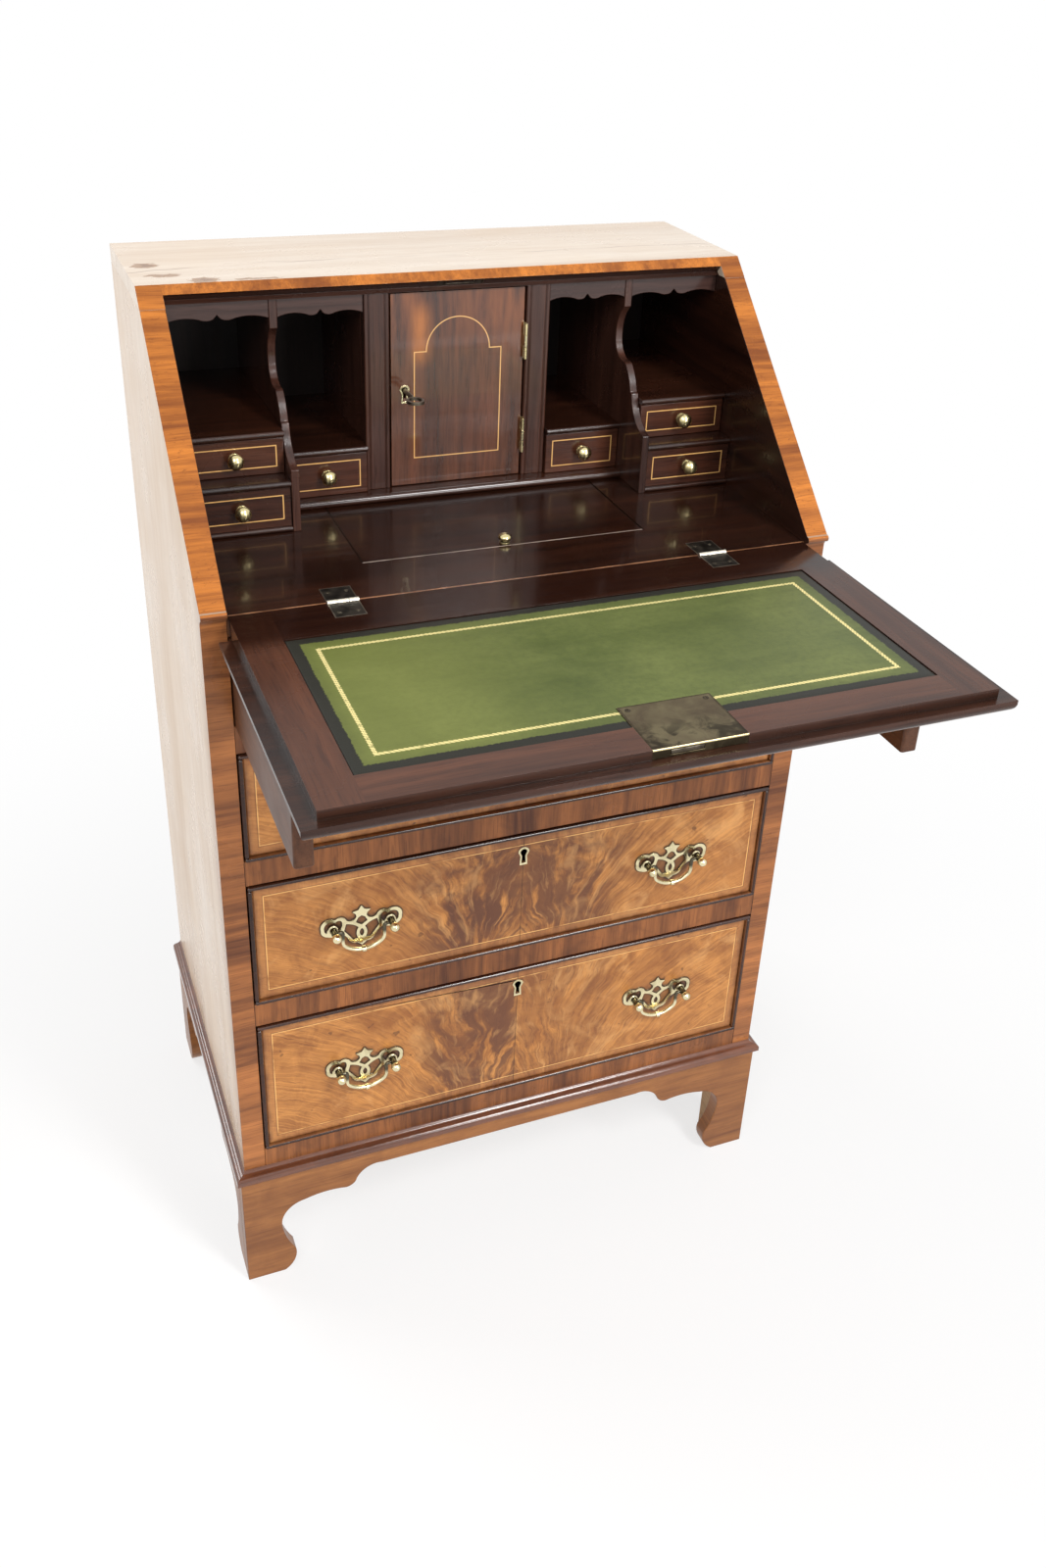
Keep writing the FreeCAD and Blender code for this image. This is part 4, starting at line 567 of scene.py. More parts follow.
def drawer_wood(name, handle_level, keyhole_level, shares):
    """Book-matched flame veneer with a worn boxwood string and dark cock beads."""
    low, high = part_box("drawer_%s_front" % name)
    shade = Shade("veneer_" + name, coat=0.3, coat_rough=0.1, specular=0.3)
    x, y, z = shade.at()
    away = shade.math("ABSOLUTE", x)
    up = shade.math("SUBTRACT", z, (low.z + high.z) / 2)
    seed = low.z * 7.0
    flat = shade.join(x, z, seed)
    inset = shade.frame_depth(x, z, (low.x, low.z), (high.x, high.z))

    # Figure, and its clouds
    share = shade.span(x, -0.0005, 0.0005, *shares)
    colour, pore = shade.flame(flat, away, up, seed, DRAWER_CORE, share, GOLDEN)
    cloud = shade.noise(flat, 15.0, 4.0, 0.6, 0.6)
    colour = shade.mix(shade.span(cloud, 0.5, 0.75, 0.0, 0.55), colour, GOLDEN[1])
    pale = shade.span(shade.noise(flat, 21.0, 5.0, 0.62, 0.9), 0.54, 0.74, 0.0, 0.6)
    pale = shade.both(pale, shade.span(away, 0.03, 0.11, 0.3, 1.0))
    colour = shade.mix(pale, colour, GOLDEN[3])

    # Border, string with a painted shadow beside it, and the join in the middle
    border = shade.span(inset, STRING_INSET + 0.0004, STRING_INSET - 0.0004)
    band = shade.tint("z", DRAWER_BAND, seed=0.4)
    colour = shade.mix(shade.both(border, 0.5), colour, band)
    lost = shade.span(shade.noise(flat, 40.0, 3.0, 0.6), 0.36, 0.5, 0.1, 0.85)
    string = shade.both(shade.line(inset, STRING_INSET, STRING), lost)
    colour = shade.mix(string, colour, BOXWOOD)
    # A painted shadow line beside the string
    shadow = shade.line(inset, STRING_INSET - STRING, 0.0007)
    colour = shade.mix(shade.both(shadow, 0.4), colour, DIRT_AND_SHADE)
    join = shade.line(x, 0.0, 0.0008)
    colour = shade.mix(shade.both(join, 0.6), colour, EBONY)

    # Darker towards the edges, scratches and knocks, and a stain and painted shade round the
    # brasses
    ragged = shade.math("MULTIPLY_ADD", shade.noise(flat, 70.0, 5.0, 0.65), 0.012, inset)
    edge = shade.span(ragged, 0.0165, 0.0085, 0.0, 0.8, True)
    colour = shade.mix(edge, colour, VENEER_EDGE)
    scratch = shade.noise(shade.join(shade.both(x, 0.25), z, seed), 150.0, 3.0, 0.6, 1.0)
    rubbed = shade.span(inset, 0.03, 0.006, 0.15, 0.85)
    colour = shade.mix(shade.both(shade.span(scratch, 0.68, 0.73), rubbed), colour, SCRATCH)
    knock = shade.noise(flat, 75.0, 2.0, 0.5)
    colour = shade.mix(shade.span(knock, 0.72, 0.75, 0.0, 0.6), colour, KNOCK)
    # A stain and painted shade round the handle, hanging below it
    ring = shade.ring(away, z, (HANDLE_X, handle_level - HANDLE_DROP), HANDLE_SHADE)
    colour = shade.mix(shade.span(ring, 1.0, 0.4, 0.0, 0.6, True), colour, HANDLE_STAIN_AND_SHADE)
    # Painted shade in and round the plate's openings
    beside = shade.span(ring, 4.0, 3.0)
    shelter = shade.span(shade.nook(0.007, 12, False), 0.05, 0.24, 0.0, 0.93)
    colour = shade.mix(shade.both(beside, shelter), colour, HANDLE_DIRT_AND_SHADE)

    # Cock bead, and painted shade inside the keyhole
    bead = shade.span(inset, BEAD - 0.0003, BEAD - 0.0007)
    colour = shade.mix(bead, colour, shade.tint("x", COCK_BEAD))
    # Painted shade inside the keyhole
    keyhole_shade = shade.both(
        shade.span(y, low.y + 0.0038, low.y + 0.0043),
        shade.span(away, KEYHOLE_HALF[0] + 0.0003, KEYHOLE_HALF[0]),
        shade.span(shade.off(z, keyhole_level), KEYHOLE_HALF[1] + 0.0005, KEYHOLE_HALF[1]),
    )
    colour = shade.mix(keyhole_shade, colour, KEYHOLE_SHADE)
    _, ny, nz = shade.facing()
    crown = shade.both(bead, shade.span(nz, 0.15, 0.4), shade.span(ny, -0.1, -0.3))
    shade.set("Coat Weight", shade.span(crown, 0.0, 1.0, 0.12, 1.0))
    return polish(shade, colour, pore, (0.26, 0.42), PORE_DEPTH, bead)


def gallery_wood(name, along, palette=MAHOGANY, strings=(), dirt_and_shade=0.75):
    """Dark polished mahogany, with boxwood strings inset in the front faces of its nodes."""
    shade = Shade(name, coat=0.3, coat_rough=0.1, specular=0.35)
    x, _, z = shade.at()
    _, ny, _ = shade.facing()
    colour, pore = shade.grain(along, palette)
    forward = shade.span(ny, -0.6, -0.8)
    for low, high, inset in strings:
        depth = shade.frame_depth(x, z, (low.x, low.z), (high.x, high.z))
        string = shade.both(shade.line(depth, inset, STRING), forward)
        colour = shade.mix(string, colour, BOXWOOD)
    if dirt_and_shade:
        # Soiling and painted shade in the inner corners
        colour = shade.corner_dirt_and_shade(colour, 0.01, dirt_and_shade, EBONY)
    return polish(shade, colour, pore, (0.14, 0.3))


def bed_wood():
    """The bed: dark mahogany, walnut in front, its front arris rubbed pale along the hinges,
    with a painted highlight.
    """
    low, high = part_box("writing_bed")
    shade = Shade("bed_mahogany", coat=0.3, coat_rough=0.06, specular=0.35)
    _, y, z = shade.at()
    _, ny, _ = shade.facing()
    colour, pore = shade.grain("x", MAHOGANY, 0.8)
    front = shade.tint("z", RAIL, 1.0, 1.1)
    colour = shade.mix(shade.span(ny, -0.6, -0.8), colour, front)
    # The front arris: rubbed pale, with a painted highlight
    arris = shade.both(
        shade.span(y, low.y + 0.0016, low.y + 0.0008),
        shade.span(z, high.z - 0.0022, high.z - 0.0012),
        shade.span(shade.noise(shade.where, 35.0, 4.0, 0.6), 0.4, 0.55, 0.25, 0.9),
    )
    colour = shade.mix(arris, colour, BED_ARRIS_AND_HIGHLIGHT)
    return polish(shade, colour, pore, (0.14, 0.28))


def cover_wood():
    """The well's cover: dark lines beside it and a front arris rubbed pale, with a painted
    highlight.
    """
    low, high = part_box("well_cover")
    shade = Shade("cover_mahogany", coat=0.08, coat_rough=0.08, specular=0.25)
    x, y, z = shade.at()
    colour, pore = shade.grain("x", COVER_WOOD, 0.8)
    away = shade.math("ABSOLUTE", x)
    colour = shade.mix(shade.span(away, COVER_HALF - 0.0012, COVER_HALF), colour, EBONY)
    # The front arris: rubbed pale, with a painted highlight
    arris = shade.both(
        shade.span(y, low.y + 0.0018, low.y + 0.0009),
        shade.span(z, high.z - 0.002, high.z - 0.0012),
        shade.span(shade.noise(shade.where, 22.0, 3.0, 0.6), 0.35, 0.55, 0.45, 1.0),
    )
    colour = shade.mix(arris, colour, COVER_ARRIS_AND_HIGHLIGHT)
    return polish(shade, colour, pore, (0.14, 0.28))


def door_wood():
    """The prospect door: glossy mahogany with an arched boxwood line."""
    shade = Shade("door_mahogany", coat=0.8, coat_rough=0.06, specular=0.5)
    x, y, z = shade.at()
    _, ny, _ = shade.facing()
    colour, pore = shade.grain("z", DOOR_WOOD, 1.3, 1.1, 0.3)
    streak = shade.noise(shade.join(x, y, shade.both(z, 0.14)), 60.0, 5.0, 0.6, 0.4)
    streak = shade.span(streak, 0.42, 0.62)
    warm = shade.math("MULTIPLY_ADD", shade.noise(shade.where, 16.0, 3.0, 0.5), 0.05, z)
    warm = shade.both(shade.span(warm, 0.87, 0.96, 0.15, 0.8, True), streak)
    colour = shade.mix(warm, colour, DOOR_GLOW)
    patch = shade.both(
        shade.span(shade.off(x, DOOR_PATCH_AT[0]), 0.014, 0.004, soft=True),
        shade.span(shade.off(z, DOOR_PATCH_AT[1]), 0.034, 0.012, soft=True),
        shade.span(streak, 0.0, 1.0, 0.35, 0.85),
    )
    colour = shade.mix(patch, colour, DOOR_PATCH)
    side = shade.math("SUBTRACT", shade.math("ABSOLUTE", x), DOOR_HALF)
    level = shade.off(z, (DOOR_SHOULDER + DOOR_FOOT) / 2)
    level = shade.math("SUBTRACT", level, (DOOR_SHOULDER - DOOR_FOOT) / 2)
    square = shade.math("MAXIMUM", side, level)
    rise = shade.math("SUBTRACT", z, DOOR_SHOULDER)
    reach = shade.math("SQRT", shade.math("ADD", shade.both(x, x), shade.both(rise, rise)))
    arch = shade.math("SUBTRACT", reach, DOOR_ARCH)
    string = shade.line(shade.math("MINIMUM", square, arch), 0.0, STRING)
    string = shade.both(string, shade.span(ny, -0.6, -0.8))
    colour = shade.mix(string, colour, BOXWOOD)
    return polish(shade, colour, pore, (0.12, 0.24))


def fall_wood():
    """The fall: mahogany frame inside with painted shade along its back, walnut outside with a
    string, dark lips.
    """
    low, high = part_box("fall_panel")
    shade = Shade("fall_wood", coat=0.08, coat_rough=0.12, specular=0.28)
    x, y, z = shade.at()
    _, _, nz = shade.facing()
    away = shade.math("ABSOLUTE", x)
    inner, pore = shade.grain("x", FALL_WOOD, 0.9)
    across = shade.tint("y", FALL_WOOD, 0.9, seed=1.9)
    inner = shade.mix(shade.span(away, FALL_ENDS, FALL_ENDS + 0.0007), inner, across)
    # Painted shade along the back strip by the hinges, which is also glossier
    painted_shade_back = shade.span(y, high.y - 0.075, high.y - 0.04, 0.0, 0.8, True)
    inner = shade.mix(painted_shade_back, inner, FALL_BACK_SHADE)
    lip = shade.tint("x", FALL_LIP, 0.9, 0.9, 0.6)
    up = shade.math("SUBTRACT", y, (low.y + high.y) / 2)
    flat = shade.join(x, y, FALL_SEED)
    outside, _ = shade.flame(flat, away, up, FALL_SEED, FALL_CORE, FALL_SMOKE, GOLDEN)
    inset = shade.frame_depth(x, y, (low.x, low.y), (high.x, high.y))
    border = shade.span(inset, FALL_STRING_INSET + 0.001, FALL_STRING_INSET - 0.001)
    outside = shade.mix(border, outside, shade.tint("y", FRAME))
    string = shade.line(inset, FALL_STRING_INSET, FALL_STRING)
    outside = shade.mix(string, outside, BOXWOOD)
    raised = shade.both(shade.span(nz, 0.4, 0.6), shade.span(z, *FALL_STEP))
    colour = shade.mix(raised, lip, inner)
    colour = shade.mix(shade.span(nz, -0.6, -0.8), colour, outside)
    # Soiling and painted shade in the inner corners
    colour = shade.corner_dirt_and_shade(colour, 0.006, 0.8, EBONY)
    return polish(shade, colour, pore, (0.2, 0.34), gloss=painted_shade_back)


def leather_hide():
    """Green skiver, paler to the left from wear and a painted sheen, dark and ragged at its
    border, with a roped gold line.
    """
    low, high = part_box("fall_leather")
    shade = Shade("green_leather", specular=0.28)
    x, y, _ = shade.at()
    spread = shade.join(x, y, 0.0)
    cloud = shade.noise(spread, 9.0, 5.0, 0.6, 0.6)
    colour = shade.mix(shade.span(cloud, 0.3, 0.72), *HIDE)
    wiped = shade.noise(shade.join(shade.both(x, 0.2), y, 1.0), 60.0, 5.0, 0.6, 0.5)
    colour = shade.mix(shade.span(wiped, 0.45, 0.75, 0.0, 0.4), colour, HIDE_WIPED)
    mottle = shade.noise(spread, 190.0, 4.0, 0.6)
    colour = shade.mix(shade.span(mottle, 0.42, 0.75, 0.0, 0.35), colour, HIDE_MOTTLE)
    # Paler to the left: wear and a painted sheen
    faded_and_sheen = shade.span(x, low.x + 0.2, low.x + 0.04, 0.0, 0.4, True)
    colour = shade.mix(faded_and_sheen, colour, HIDE_FADED_AND_SHEEN)
    inset = shade.frame_depth(x, y, (low.x, low.y), (high.x, high.y))
    colour = shade.mix(shade.span(inset, 0.02, 0.011, 0.0, 0.22, True), colour, HIDE_SHADE)
    coarse = shade.math("MULTIPLY_ADD", shade.noise(spread, 70.0, 2.0, 0.5), 0.002, inset)
    ragged = shade.noise(spread, 420.0, 3.0, 0.7)
    ragged = shade.math("MULTIPLY_ADD", ragged, 0.0042, coarse)
    colour = shade.mix(shade.span(ragged, 0.0134, 0.0126, 0.0, 0.97), colour, HIDE_BORDER)
    along = shade.math("ADD", shade.math("ADD", x, y), inset)
    turn = shade.math("SINE", shade.both(along, 900.0))
    strand = shade.off(shade.math("MULTIPLY_ADD", turn, GOLD_SWAY, inset), GOLD_INSET)
    other = shade.off(shade.math("MULTIPLY_ADD", turn, -GOLD_SWAY, inset), GOLD_INSET)
    gold = shade.span(shade.math("MINIMUM", strand, other), 0.0009, 0.0006)
    rubbed = shade.span(shade.noise(spread, 160.0, 3.0, 0.6), 0.3, 0.44, 0.25, 1.0)
    gold = shade.both(gold, rubbed)
    shade.set("Base Color", shade.mix(gold, colour, GOLD))
    shade.set("Metallic", shade.both(gold, 0.25))
    shade.set("Roughness", shade.span(cloud, 0.3, 0.7, 0.36, 0.48))
    hide = shade.noise(spread, 520.0, 3.0, 0.55)
    shade.bump(shade.math("MULTIPLY_ADD", gold, -0.6, hide), 0.00016, 0.5)
    return shade.material


def brass(name, colour, tarnish, share, rough=0.2, patches=(0.45, 0.7), scale=55.0, neck=None):
    """Brass, tarnished in patches, dark in corners, on post shafts and above a bail's neck."""
    shade = Shade(name, metal=1.0)
    _, y, z = shade.at()
    patch = shade.noise(shade.where, scale, 4.0, 0.6, 0.4)
    dull = shade.both(shade.span(patch, *patches), share)
    finish = shade.mix(dull, colour, tarnish)
    if neck is None:
        black = shade.both(
            shade.span(y, POST_SHAFT[0], POST_SHAFT[0] - 0.001),
            shade.span(y, POST_SHAFT[1], POST_SHAFT[1] + 0.001),
        )
    else:
        black = shade.span(z, neck, neck + 0.006, soft=True)
    finish = shade.mix(shade.both(black, 0.9), finish, BLACKENED)
    nook = shade.span(shade.nook(0.005, 8), 0.2, 0.75, 0.0, 0.85)
    shade.set("Base Color", shade.mix(nook, finish, BRASS_DIRT))
    worn = shade.math("MULTIPLY_ADD", dull, 0.3, rough)
    shade.set("Roughness", shade.math("MULTIPLY_ADD", nook, 0.3, worn))
    shade.bump(shade.noise(shade.where, 900.0, 3.0, 0.6), 0.00004, 0.4)
    return shade.material


def lock_brass():
    """The fall lock's cap: dull grey-green brass, black stains, a front arris rubbed bright,
    with a painted highlight.
    """
    low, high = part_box("fall_lock")
    shade = Shade("lock_brass", metal=1.0)
    x, y, z = shade.at()
    patch = shade.noise(shade.where, 42.0, 5.0, 0.6, 0.6)
    colour = shade.mix(shade.span(patch, 0.35, 0.65), *LOCK_CAP)
    front = shade.span(y, low.y + 0.04, low.y + 0.014)
    stain = shade.noise(shade.where, 60.0, 6.0, 0.66, 0.8)
    stain = shade.both(shade.span(stain, 0.45, 0.56), front)
    colour = shade.mix(shade.both(stain, 0.85), colour, LOCK_STAIN)
    rim = shade.frame_depth(x, y, (low.x, low.y), (high.x, high.y))
    colour = shade.mix(shade.span(rim, 0.0022, 0.0008, 0.0, 0.7), colour, LOCK_RIM)
    # The front arris: rubbed bright, with a painted highlight
    arris = shade.both(
        shade.span(y, low.y + 0.001, low.y + 0.0006),
        shade.span(z, high.z - 0.0014, high.z - 0.0009),
    )
    colour = shade.mix(arris, colour, LOCK_ARRIS_AND_HIGHLIGHT)
    shade.set("Base Color", colour)
    rough = shade.span(patch, 0.3, 0.7, 0.42, 0.55)
    shade.set("Roughness", shade.math("MULTIPLY_ADD", arris, -0.2, rough))
    shade.bump(shade.noise(shade.where, 260.0, 4.0, 0.6), 0.00006, 0.4)
    return shade.material


def hinge_brass():
    """Hinges: blackened leaves with rubbed edges, bright knuckles, clean brass at the door."""
    shade = Shade("hinge_brass", metal=1.0)
    x, y, z = shade.at()
    away = shade.math("ABSOLUTE", x)
    patch = shade.noise(shade.where, 130.0, 4.0, 0.6, 0.4)
    leaf = shade.mix(shade.span(patch, 0.4, 0.7), BLACKENED, HINGE_WORN)
    low = (HINGE_X - HINGE_HALF, HINGE_REACH[0])
    high = (HINGE_X + HINGE_HALF, HINGE_REACH[1])
    rim = shade.span(shade.frame_depth(away, y, low, high), 0.0013, 0.0006, 0.0, 0.8)
    leaf = shade.mix(rim, leaf, HINGE_RIM)
    knuckle = shade.span(z, *KNUCKLE_LEVELS)
    colour = shade.mix(knuckle, leaf, HINGE_KNUCKLE)
    door = shade.span(y, *DOOR_HINGE_FROM)
    shade.set("Base Color", shade.mix(door, colour, DOOR_HINGE))
    rough = shade.span(patch, 0.3, 0.7, 0.3, 0.48)
    shade.set("Roughness", shade.math("MULTIPLY_ADD", knuckle, -0.14, rough))
    shade.bump(shade.noise(shade.where, 700.0, 3.0, 0.6), 0.00004, 0.4)
    return shade.material


def old_back():
    """Three back boards: oak outside with dark joints, near black inside the pigeonholes from a
    stain and painted shade.
    """
    low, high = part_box("back_boards")
    joint_x = (high.x - low.x) / 3 / 2
    shade = Shade("back_oak", specular=0.25)
    x, y, z = shade.at()
    _, ny, _ = shade.facing()
    away = shade.math("ABSOLUTE", x)
    colour, pore = shade.grain("z", INSIDE, 1.0, 1.2)
    middle = shade.span(away, joint_x + 0.0004, joint_x - 0.0004)
    colour = shade.mix(shade.both(middle, 0.35), colour, BACK_MIDDLE)
    right = shade.span(x, joint_x - 0.0004, joint_x + 0.0004)
    colour = shade.mix(shade.both(right, 0.2), colour, BACK_RIGHT)
    stain = shade.noise(shade.join(x, y, shade.both(z, 0.35)), 7.0, 5.0, 0.62, 0.5)
    colour = shade.mix(shade.span(stain, 0.48, 0.72, 0.0, 0.6), colour, BACK_STAIN)
    rim = shade.frame_depth(x, z, (low.x, low.z), (high.x, high.z))
    colour = shade.mix(shade.span(rim, 0.03, 0.0, 0.0, 0.6, True), colour, BACK_RIM)
    colour = shade.mix(shade.line(away, joint_x, BACK_JOINT), colour, EBONY)
    # A stain and painted shade on the faces inside the pigeonholes
    stain_and_shade = shade.tint("z", BACK_STAIN_AND_SHADE)
    colour = shade.mix(shade.span(ny, -0.4, -0.6), colour, stain_and_shade)
    return polish(shade, colour, pore, (0.45, 0.65), PORE_DEPTH)


def steel(name, colour, rough):
    shade = Shade(name, metal=1.0)
    patch = shade.noise(shade.where, 140.0, 4.0, 0.6)
    shade.set("Base Color", shade.mix(shade.span(patch, 0.4, 0.7), colour, RUST))
    shade.set("Roughness", shade.span(patch, 0.3, 0.7, rough, rough + 0.25))
    return shade.material


def dress(name, material, bevel, segments=2, clamp=True, mitred=False):
    """Gives a CAD node its material and softly broken edges; mitred lengths are shaded apart."""
    piece = nodes[name]
    mesh = piece.data
    mesh.materials.clear()
    mesh.materials.append(material)
    if "custom_normal" in mesh.attributes:
        mesh.attributes.remove(mesh.attributes["custom_normal"])
    for polygon in mesh.polygons:
        polygon.use_smooth = True
    weld = piece.modifiers.new("weld", "WELD")
    weld.merge_threshold = WELD_GAP
    if mitred:
        apart = piece.modifiers.new("apart", "EDGE_SPLIT")
        apart.use_edge_sharp = False
        apart.split_angle = SPLIT_ANGLE
    flat = piece.modifiers.new("flat", "DECIMATE")
    flat.decimate_type = "DISSOLVE"
    flat.angle_limit = FLAT_ANGLE
    edge = piece.modifiers.new("edge", "BEVEL")
    edge.width = bevel
    edge.segments = segments
    edge.limit_method = "ANGLE"
    edge.angle_limit = math.radians(34.0)
    edge.harden_normals = True
    edge.use_clamp_overlap = clamp
    smooth = piece.modifiers.new("smooth", "WEIGHTED_NORMAL")
    smooth.keep_sharp = True


def add_piece(name, mesh, material, body):
    """A new piece from a bmesh, riding on a body and taking its finish from a slot."""
    data = bpy.data.meshes.new(name)
    bmesh.ops.recalc_face_normals(mesh, faces=mesh.faces[:])
    mesh.to_mesh(data)
    mesh.free()
    data.materials.append(material)
    piece = bpy.data.objects.new(name, data)
    scene.collection.objects.link(piece)
    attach(piece, body)
    return piece


def steps_between(low, high, count, extra):
    """Even steps from low to high, with extra stops in place of the nearest steps."""
    stops = [low + (high - low) * step / count for step in range(count + 1)]
    gap = (high - low) / count / 2
    for stop in extra:
        stops = [other for other in stops if abs(other - stop) > gap] + [stop]
    return sorted(stops)


def leather_inlay():
    """The hide in the fall: a thin uneven sheet, rounded at its edge, notched for the lock."""
    low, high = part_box("fall_leather")
    plate_low, plate_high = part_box("fall_lock")
    left, right = plate_low.x - HIDE_SLACK, plate_high.x + HIDE_SLACK
    back = plate_high.y + HIDE_SLACK
    xs = steps_between(
        low.x, high.x, HIDE_STEPS[0], (low.x + HIDE_RIM, left, right, high.x - HIDE_RIM)
    )
    ys = steps_between(
        low.y, high.y, HIDE_STEPS[1], (low.y + HIDE_RIM, back, high.y - HIDE_RIM)
    )
    mesh = bmesh.new()
    grid = {}
    for u, x in enumerate(xs):
        for v, y in enumerate(ys):
            ripple = 0.0
            for waves, place, height in HIDE_RIPPLES:
                ripple += noise.noise(Vector((x * waves, y * waves, place))) * height
            grid[u, v] = mesh.verts.new((x, y, high.z + ripple))
    for u in range(len(xs) - 1):
        for v in range(len(ys) - 1):
            inside_x = left < (xs[u] + xs[u + 1]) / 2 < right
            inside_y = (ys[v] + ys[v + 1]) / 2 < back
            if not (inside_x and inside_y):
                corners = ((u, v), (u + 1, v), (u + 1, v + 1), (u, v + 1))
                mesh.faces.new([grid[corner] for corner in corners])
    loose = [vert for vert in mesh.verts if not vert.link_faces]
    bmesh.ops.delete(mesh, geom=loose, context="VERTS")
    border = [edge for edge in mesh.edges if edge.is_boundary]
    rim = {vert for edge in border for vert in edge.verts}
    for vert in rim:
        vert.co.z -= HIDE_RIM_DROP
    skirt = bmesh.ops.extrude_edge_only(mesh, edges=border)["geom"]
    for vert in skirt:
        if isinstance(vert, bmesh.types.BMVert):
            vert.co.z = low.z
    for face in mesh.faces:
        face.smooth = True
    for edge in border:
        edge.smooth = False
    piece = add_piece("leather_inlay", mesh, leather_hide(), "fall")
    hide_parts("fall_leather")


def screw_head(name, place, radius, turn, material, body):
    """A slotted screw in a level face: two domed halves beside a slot, over a dark seat."""
    first = math.asin(SCREW_SLOT)
    mesh = bmesh.new()
    for side in (1.0, -1.0):
        arc = []
        for step in range(SCREW_STEPS + 1):
            angle = first + (math.pi - 2.0 * first) * step / SCREW_STEPS
            arc.append(Vector((radius * math.cos(angle), side * radius * math.sin(angle))))
        heart = Vector((0.0, side * radius * SCREW_HEART))
        rings = []
        for share, level in SCREW_RINGS:
            spots = [heart + (spot - heart) * share for spot in arc]
            rings.append([mesh.verts.new((*spot, radius * level)) for spot in spots])
        for lower, upper in zip(rings, rings[1:]):
            for step in range(len(arc)):
                after = (step + 1) % len(arc)
                mesh.faces.new((lower[step], lower[after], upper[after], upper[step]))
        mesh.faces.new(rings[-1])
    seat = []
    for step in range(2 * SCREW_STEPS):
        angle = math.pi * step / SCREW_STEPS
        spot = (math.cos(angle), math.sin(angle), SCREW_SEAT)
        seat.append(mesh.verts.new([radius * part for part in spot]))
    mesh.faces.new(seat)
    bmesh.ops.rotate(mesh, verts=mesh.verts[:], matrix=Matrix.Rotation(turn, 3, "Z"))
    bmesh.ops.translate(mesh, verts=mesh.verts[:], vec=Vector(place))
    add_piece(name, mesh, material, body)


# Carcass and long drawers
dress("side_left", case_wood("side_left", 1.0), EDGE_CASE)
dress("side_right", case_wood("side_right", -1.0), EDGE_CASE)
dress("top_board", top_wood(), EDGE_CASE)
rail_wood = plain_wood("rail_walnut", "z", RAIL, (0.24, 0.42), coat=0.1, contrast=1.1, dirt_and_shade=0.6)
dress("front_rails", rail_wood, EDGE_BOARD)
plinth_wood = faced_wood("plinth_walnut", PLINTH, (0.26, 0.44), coat=0.1, dirt_and_shade=0.7)
dress("bracket_plinth", plinth_wood, EDGE_CASE, mitred=True)
moulding_wood = faced_wood("moulding_walnut", MOULDING, (0.14, 0.26), coat=0.8, dirt_and_shade=0.5)
dress("base_moulding", moulding_wood, EDGE_FINE, mitred=True)
loper_wood = plain_wood("loper_walnut", "y", LOPER, (0.3, 0.5))
for side in SIDES:
    dress("loper_" + side, loper_wood, EDGE_BOARD)
inside_wood = plain_wood("inside_oak", "y", INSIDE, (0.5, 0.7))
dress("back_boards", old_back(), EDGE_FINE, mitred=True)
for name in ("bottom_board", "carcass_framing", "well_box", "foot_blocks"):
    dress(name, inside_wood, EDGE_FINE, mitred=True)
for name, levels_and_shares in DRAWERS.items():
    veneer = drawer_wood(name, *levels_and_shares)
    dress("drawer_%s_front" % name, veneer, EDGE_BEAD, segments=4, clamp=False, mitred=True)
    dress("drawer_%s_box" % name, inside_wood, EDGE_FINE, mitred=True)

# Bed, gallery and fall
dress("writing_bed", bed_wood(), EDGE_BOARD)
dress("well_cover", cover_wood(), EDGE_CASE)
level_wood = gallery_wood("level_mahogany", "x")
for name in ("gallery_base", "gallery_shelves"):
    dress(name, level_wood, EDGE_FINE)
dress("valances", gallery_wood("valance_mahogany", "x", VALANCE), EDGE_FINE)
upright_wood = gallery_wood("upright_mahogany", "z", UPRIGHT)
for name in ("gallery_uprights", "pilasters"):
    dress(name, upright_wood, EDGE_BOARD)
dress("prospect_door", door_wood(), EDGE_BOARD)
for side in SIDES:
    for level in LEVELS:
        name = "small_drawer_%s_%s" % (side, level)
        low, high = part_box(name)
        string = (low, high, SMALL_STRING_INSET)
        wood = gallery_wood(name + "_wood", "x", SMALL_FRONT, [string], dirt_and_shade=0.0)
        dress(name, wood, EDGE_BOARD)
dress("fall_panel", fall_wood(), EDGE_BOARD)
leather_inlay()

# Metalwork
polished = brass("polished_brass", BRASS, TARNISH, 0.5)
pale = brass("pale_brass", PALE_BRASS, TARNISH, 0.6)
bronze = brass("old_bronze", BRONZE, BRONZE_DARK, 0.9, 0.28, (0.35, 0.62), 120.0)
iron = steel("old_steel", OLD_STEEL, 0.3)
hinge_metal = hinge_brass()
for name, (handle_level, _, _) in DRAWERS.items():
    dress("drawer_%s_brasses" % name, polished, EDGE_PIERCED)
    neck = handle_level - BAIL_NECK
    bail_brass = brass("bail_brass_" + name, BAIL_BRASS, TARNISH, 0.4, neck=neck)
    for side in SIDES:
        dress("drawer_%s_bail_%s" % (name, side), bail_brass, EDGE_METAL)
for side in SIDES:
    for level in LEVELS:
        dress("small_knob_%s_%s" % (side, level), pale, EDGE_KNOB)
dress("well_cover_knob", pale, EDGE_KNOB)
dress("fall_lock", lock_brass(), EDGE_CAP)
for name in ("fall_hinge_leaves", "fixed_hinge_leaves"):
    dress(name, hinge_metal, EDGE_METAL)
dress("fall_strike_plate", bronze, EDGE_KNOB)
for name in ("door_lock", "door_hinge_leaves"):
    dress(name, polished, EDGE_KNOB)
for name in ("fall_lock_bolt", "door_lock_bolt", "door_key"):
    dress(name, iron, EDGE_METAL)

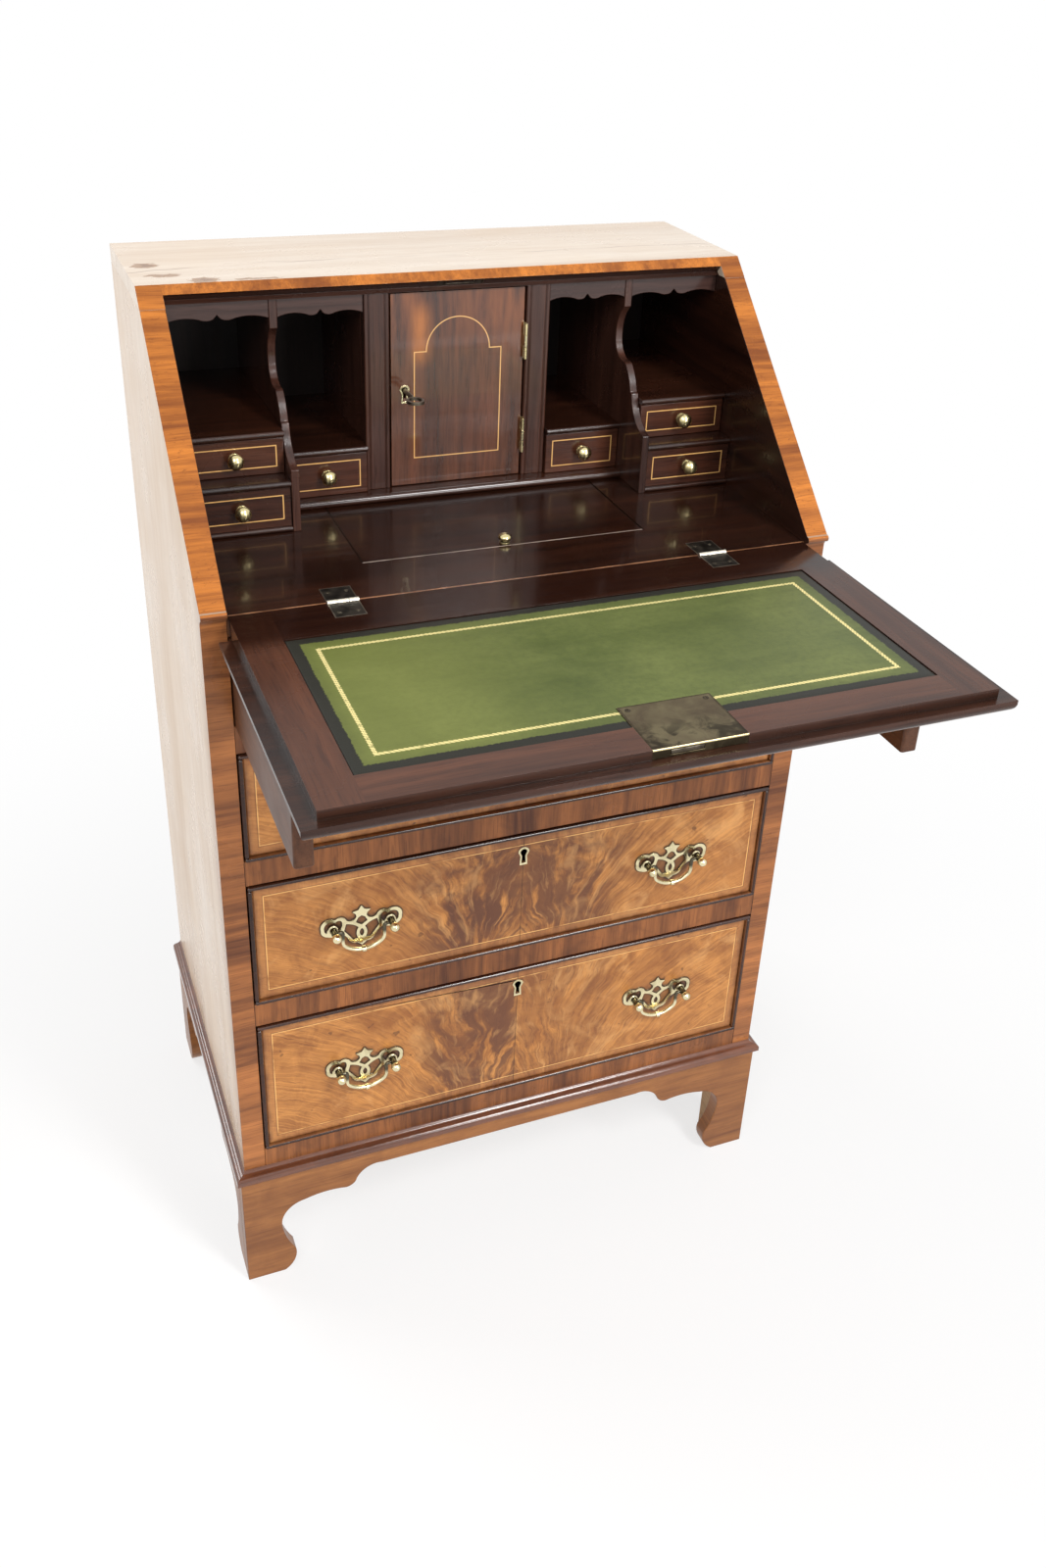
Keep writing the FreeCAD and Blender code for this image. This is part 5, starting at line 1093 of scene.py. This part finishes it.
# Screws in the lock's cap and in the hinge leaves
screw_metal = steel("screw_steel", SCREW_STEEL, 0.35)
plate_low, plate_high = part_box("fall_lock")
for number, x in enumerate((plate_low.x + LOCK_SCREW_INSET, plate_high.x - LOCK_SCREW_INSET)):
    place = (x, plate_high.y - LOCK_SCREW_INSET, plate_high.z)
    name = "lock_screw_%d" % (number + 1)
    screw_head(name, place, LOCK_SCREW, 0.5 + number, screw_metal, "fall")
for side, sign in zip(SIDES, (-1.0, 1.0)):
    for leaf, (body, y) in HINGE_SCREWS.items():
        for number, shift in enumerate(HINGE_SCREW_SHIFTS):
            place = (sign * HINGE_X + shift, y, plate_high.z)
            name = "hinge_screw_%s_%s_%d" % (side, leaf, number + 1)
            screw_head(name, place, HINGE_SCREW, 0.9 * number + sign, screw_metal, body)


def seen_share(tree, other, seen):
    """One level for rays from the camera, a mirror or a glass, and another for all others."""
    ray = tree.nodes.new("ShaderNodeLightPath")
    share = ray.outputs["Is Camera Ray"]
    for kind in ("Is Glossy Ray", "Is Transmission Ray"):
        either = tree.nodes.new("ShaderNodeMath")
        either.operation = "MAXIMUM"
        tree.links.new(share, either.inputs[0])
        tree.links.new(ray.outputs[kind], either.inputs[1])
        share = either.outputs[0]
    level = tree.nodes.new("ShaderNodeMapRange")
    level.inputs[3].default_value = other
    level.inputs[4].default_value = seen
    tree.links.new(share, level.inputs[0])
    return level


def studio_floor():
    """A pale floor, seen white away from the object and holding its shadow near it."""
    bpy.ops.mesh.primitive_plane_add(size=FLOOR_SIZE, location=(0.0, 0.0, 0.0))
    floor = bpy.context.object
    floor.name = "studio_floor"
    material = bpy.data.materials.new("pale_floor")
    material.use_nodes = True
    tree = material.node_tree
    matt = tree.nodes["Principled BSDF"]
    matt.inputs["Base Color"].default_value = (FLOOR_GREY, FLOOR_GREY, FLOOR_GREY, 1.0)
    matt.inputs["Roughness"].default_value = FLOOR_ROUGH
    glow = tree.nodes.new("ShaderNodeEmission")
    glow.inputs["Strength"].default_value = 1.0
    spot = tree.nodes.new("ShaderNodeTexCoord")
    length = tree.nodes.new("ShaderNodeVectorMath")
    length.operation = "LENGTH"
    tree.links.new(spot.outputs["Object"], length.inputs[0])
    fade = tree.nodes.new("ShaderNodeMapRange")
    fade.interpolation_type = "SMOOTHSTEP"
    for socket, value in zip(fade.inputs[1:5], FLOOR_FADE + FLOOR_WHITE):
        socket.default_value = value
    tree.links.new(length.outputs["Value"], fade.inputs[0])
    share = seen_share(tree, 0.0, 1.0)
    tree.links.new(fade.outputs[0], share.inputs[4])
    blend = tree.nodes.new("ShaderNodeMixShader")
    tree.links.new(share.outputs[0], blend.inputs[0])
    tree.links.new(matt.outputs[0], blend.inputs[1])
    tree.links.new(glow.outputs[0], blend.inputs[2])
    tree.links.new(blend.outputs[0], tree.nodes["Material Output"].inputs["Surface"])
    floor.data.materials.append(material)


def studio_sky():
    """A white background that gives only a low fill."""
    world = bpy.data.worlds.new("studio")
    scene.world = world
    world.use_nodes = True
    tree = world.node_tree
    sky = tree.nodes["Background"]
    sky.inputs["Color"].default_value = (1.0, 1.0, 1.0, 1.0)
    level = seen_share(tree, SKY_FILL, 1.0)
    tree.links.new(level.outputs[0], sky.inputs["Strength"])


def lamp(name, place, aim, size, power):
    light = bpy.data.lights.new(name, "AREA")
    light.shape = "RECTANGLE"
    light.size, light.size_y = size
    light.energy = power
    holder = bpy.data.objects.new(name, light)
    scene.collection.objects.link(holder)
    holder.location = place
    way = Vector(aim) - Vector(place)
    holder.rotation_euler = way.to_track_quat("-Z", "Y").to_euler()


def camera():
    eye = bpy.data.cameras.new("eye")
    eye.sensor_fit = "VERTICAL"
    eye.sensor_height = EYE_SENSOR
    eye.lens = EYE_LENS
    eye.shift_x, eye.shift_y = EYE_SHIFT
    eye.clip_start = EYE_NEAR
    holder = bpy.data.objects.new("eye", eye)
    scene.collection.objects.link(holder)
    turn = Matrix((EYE_RIGHT, -EYE_DOWN, -EYE_AHEAD)).transposed().to_4x4()
    holder.matrix_world = Matrix.Translation(EYE_PLACE) @ turn
    scene.camera = holder


studio_floor()
studio_sky()
for name, setting in LAMPS.items():
    lamp(name, *setting)
camera()
scene.view_settings.view_transform = "Standard"
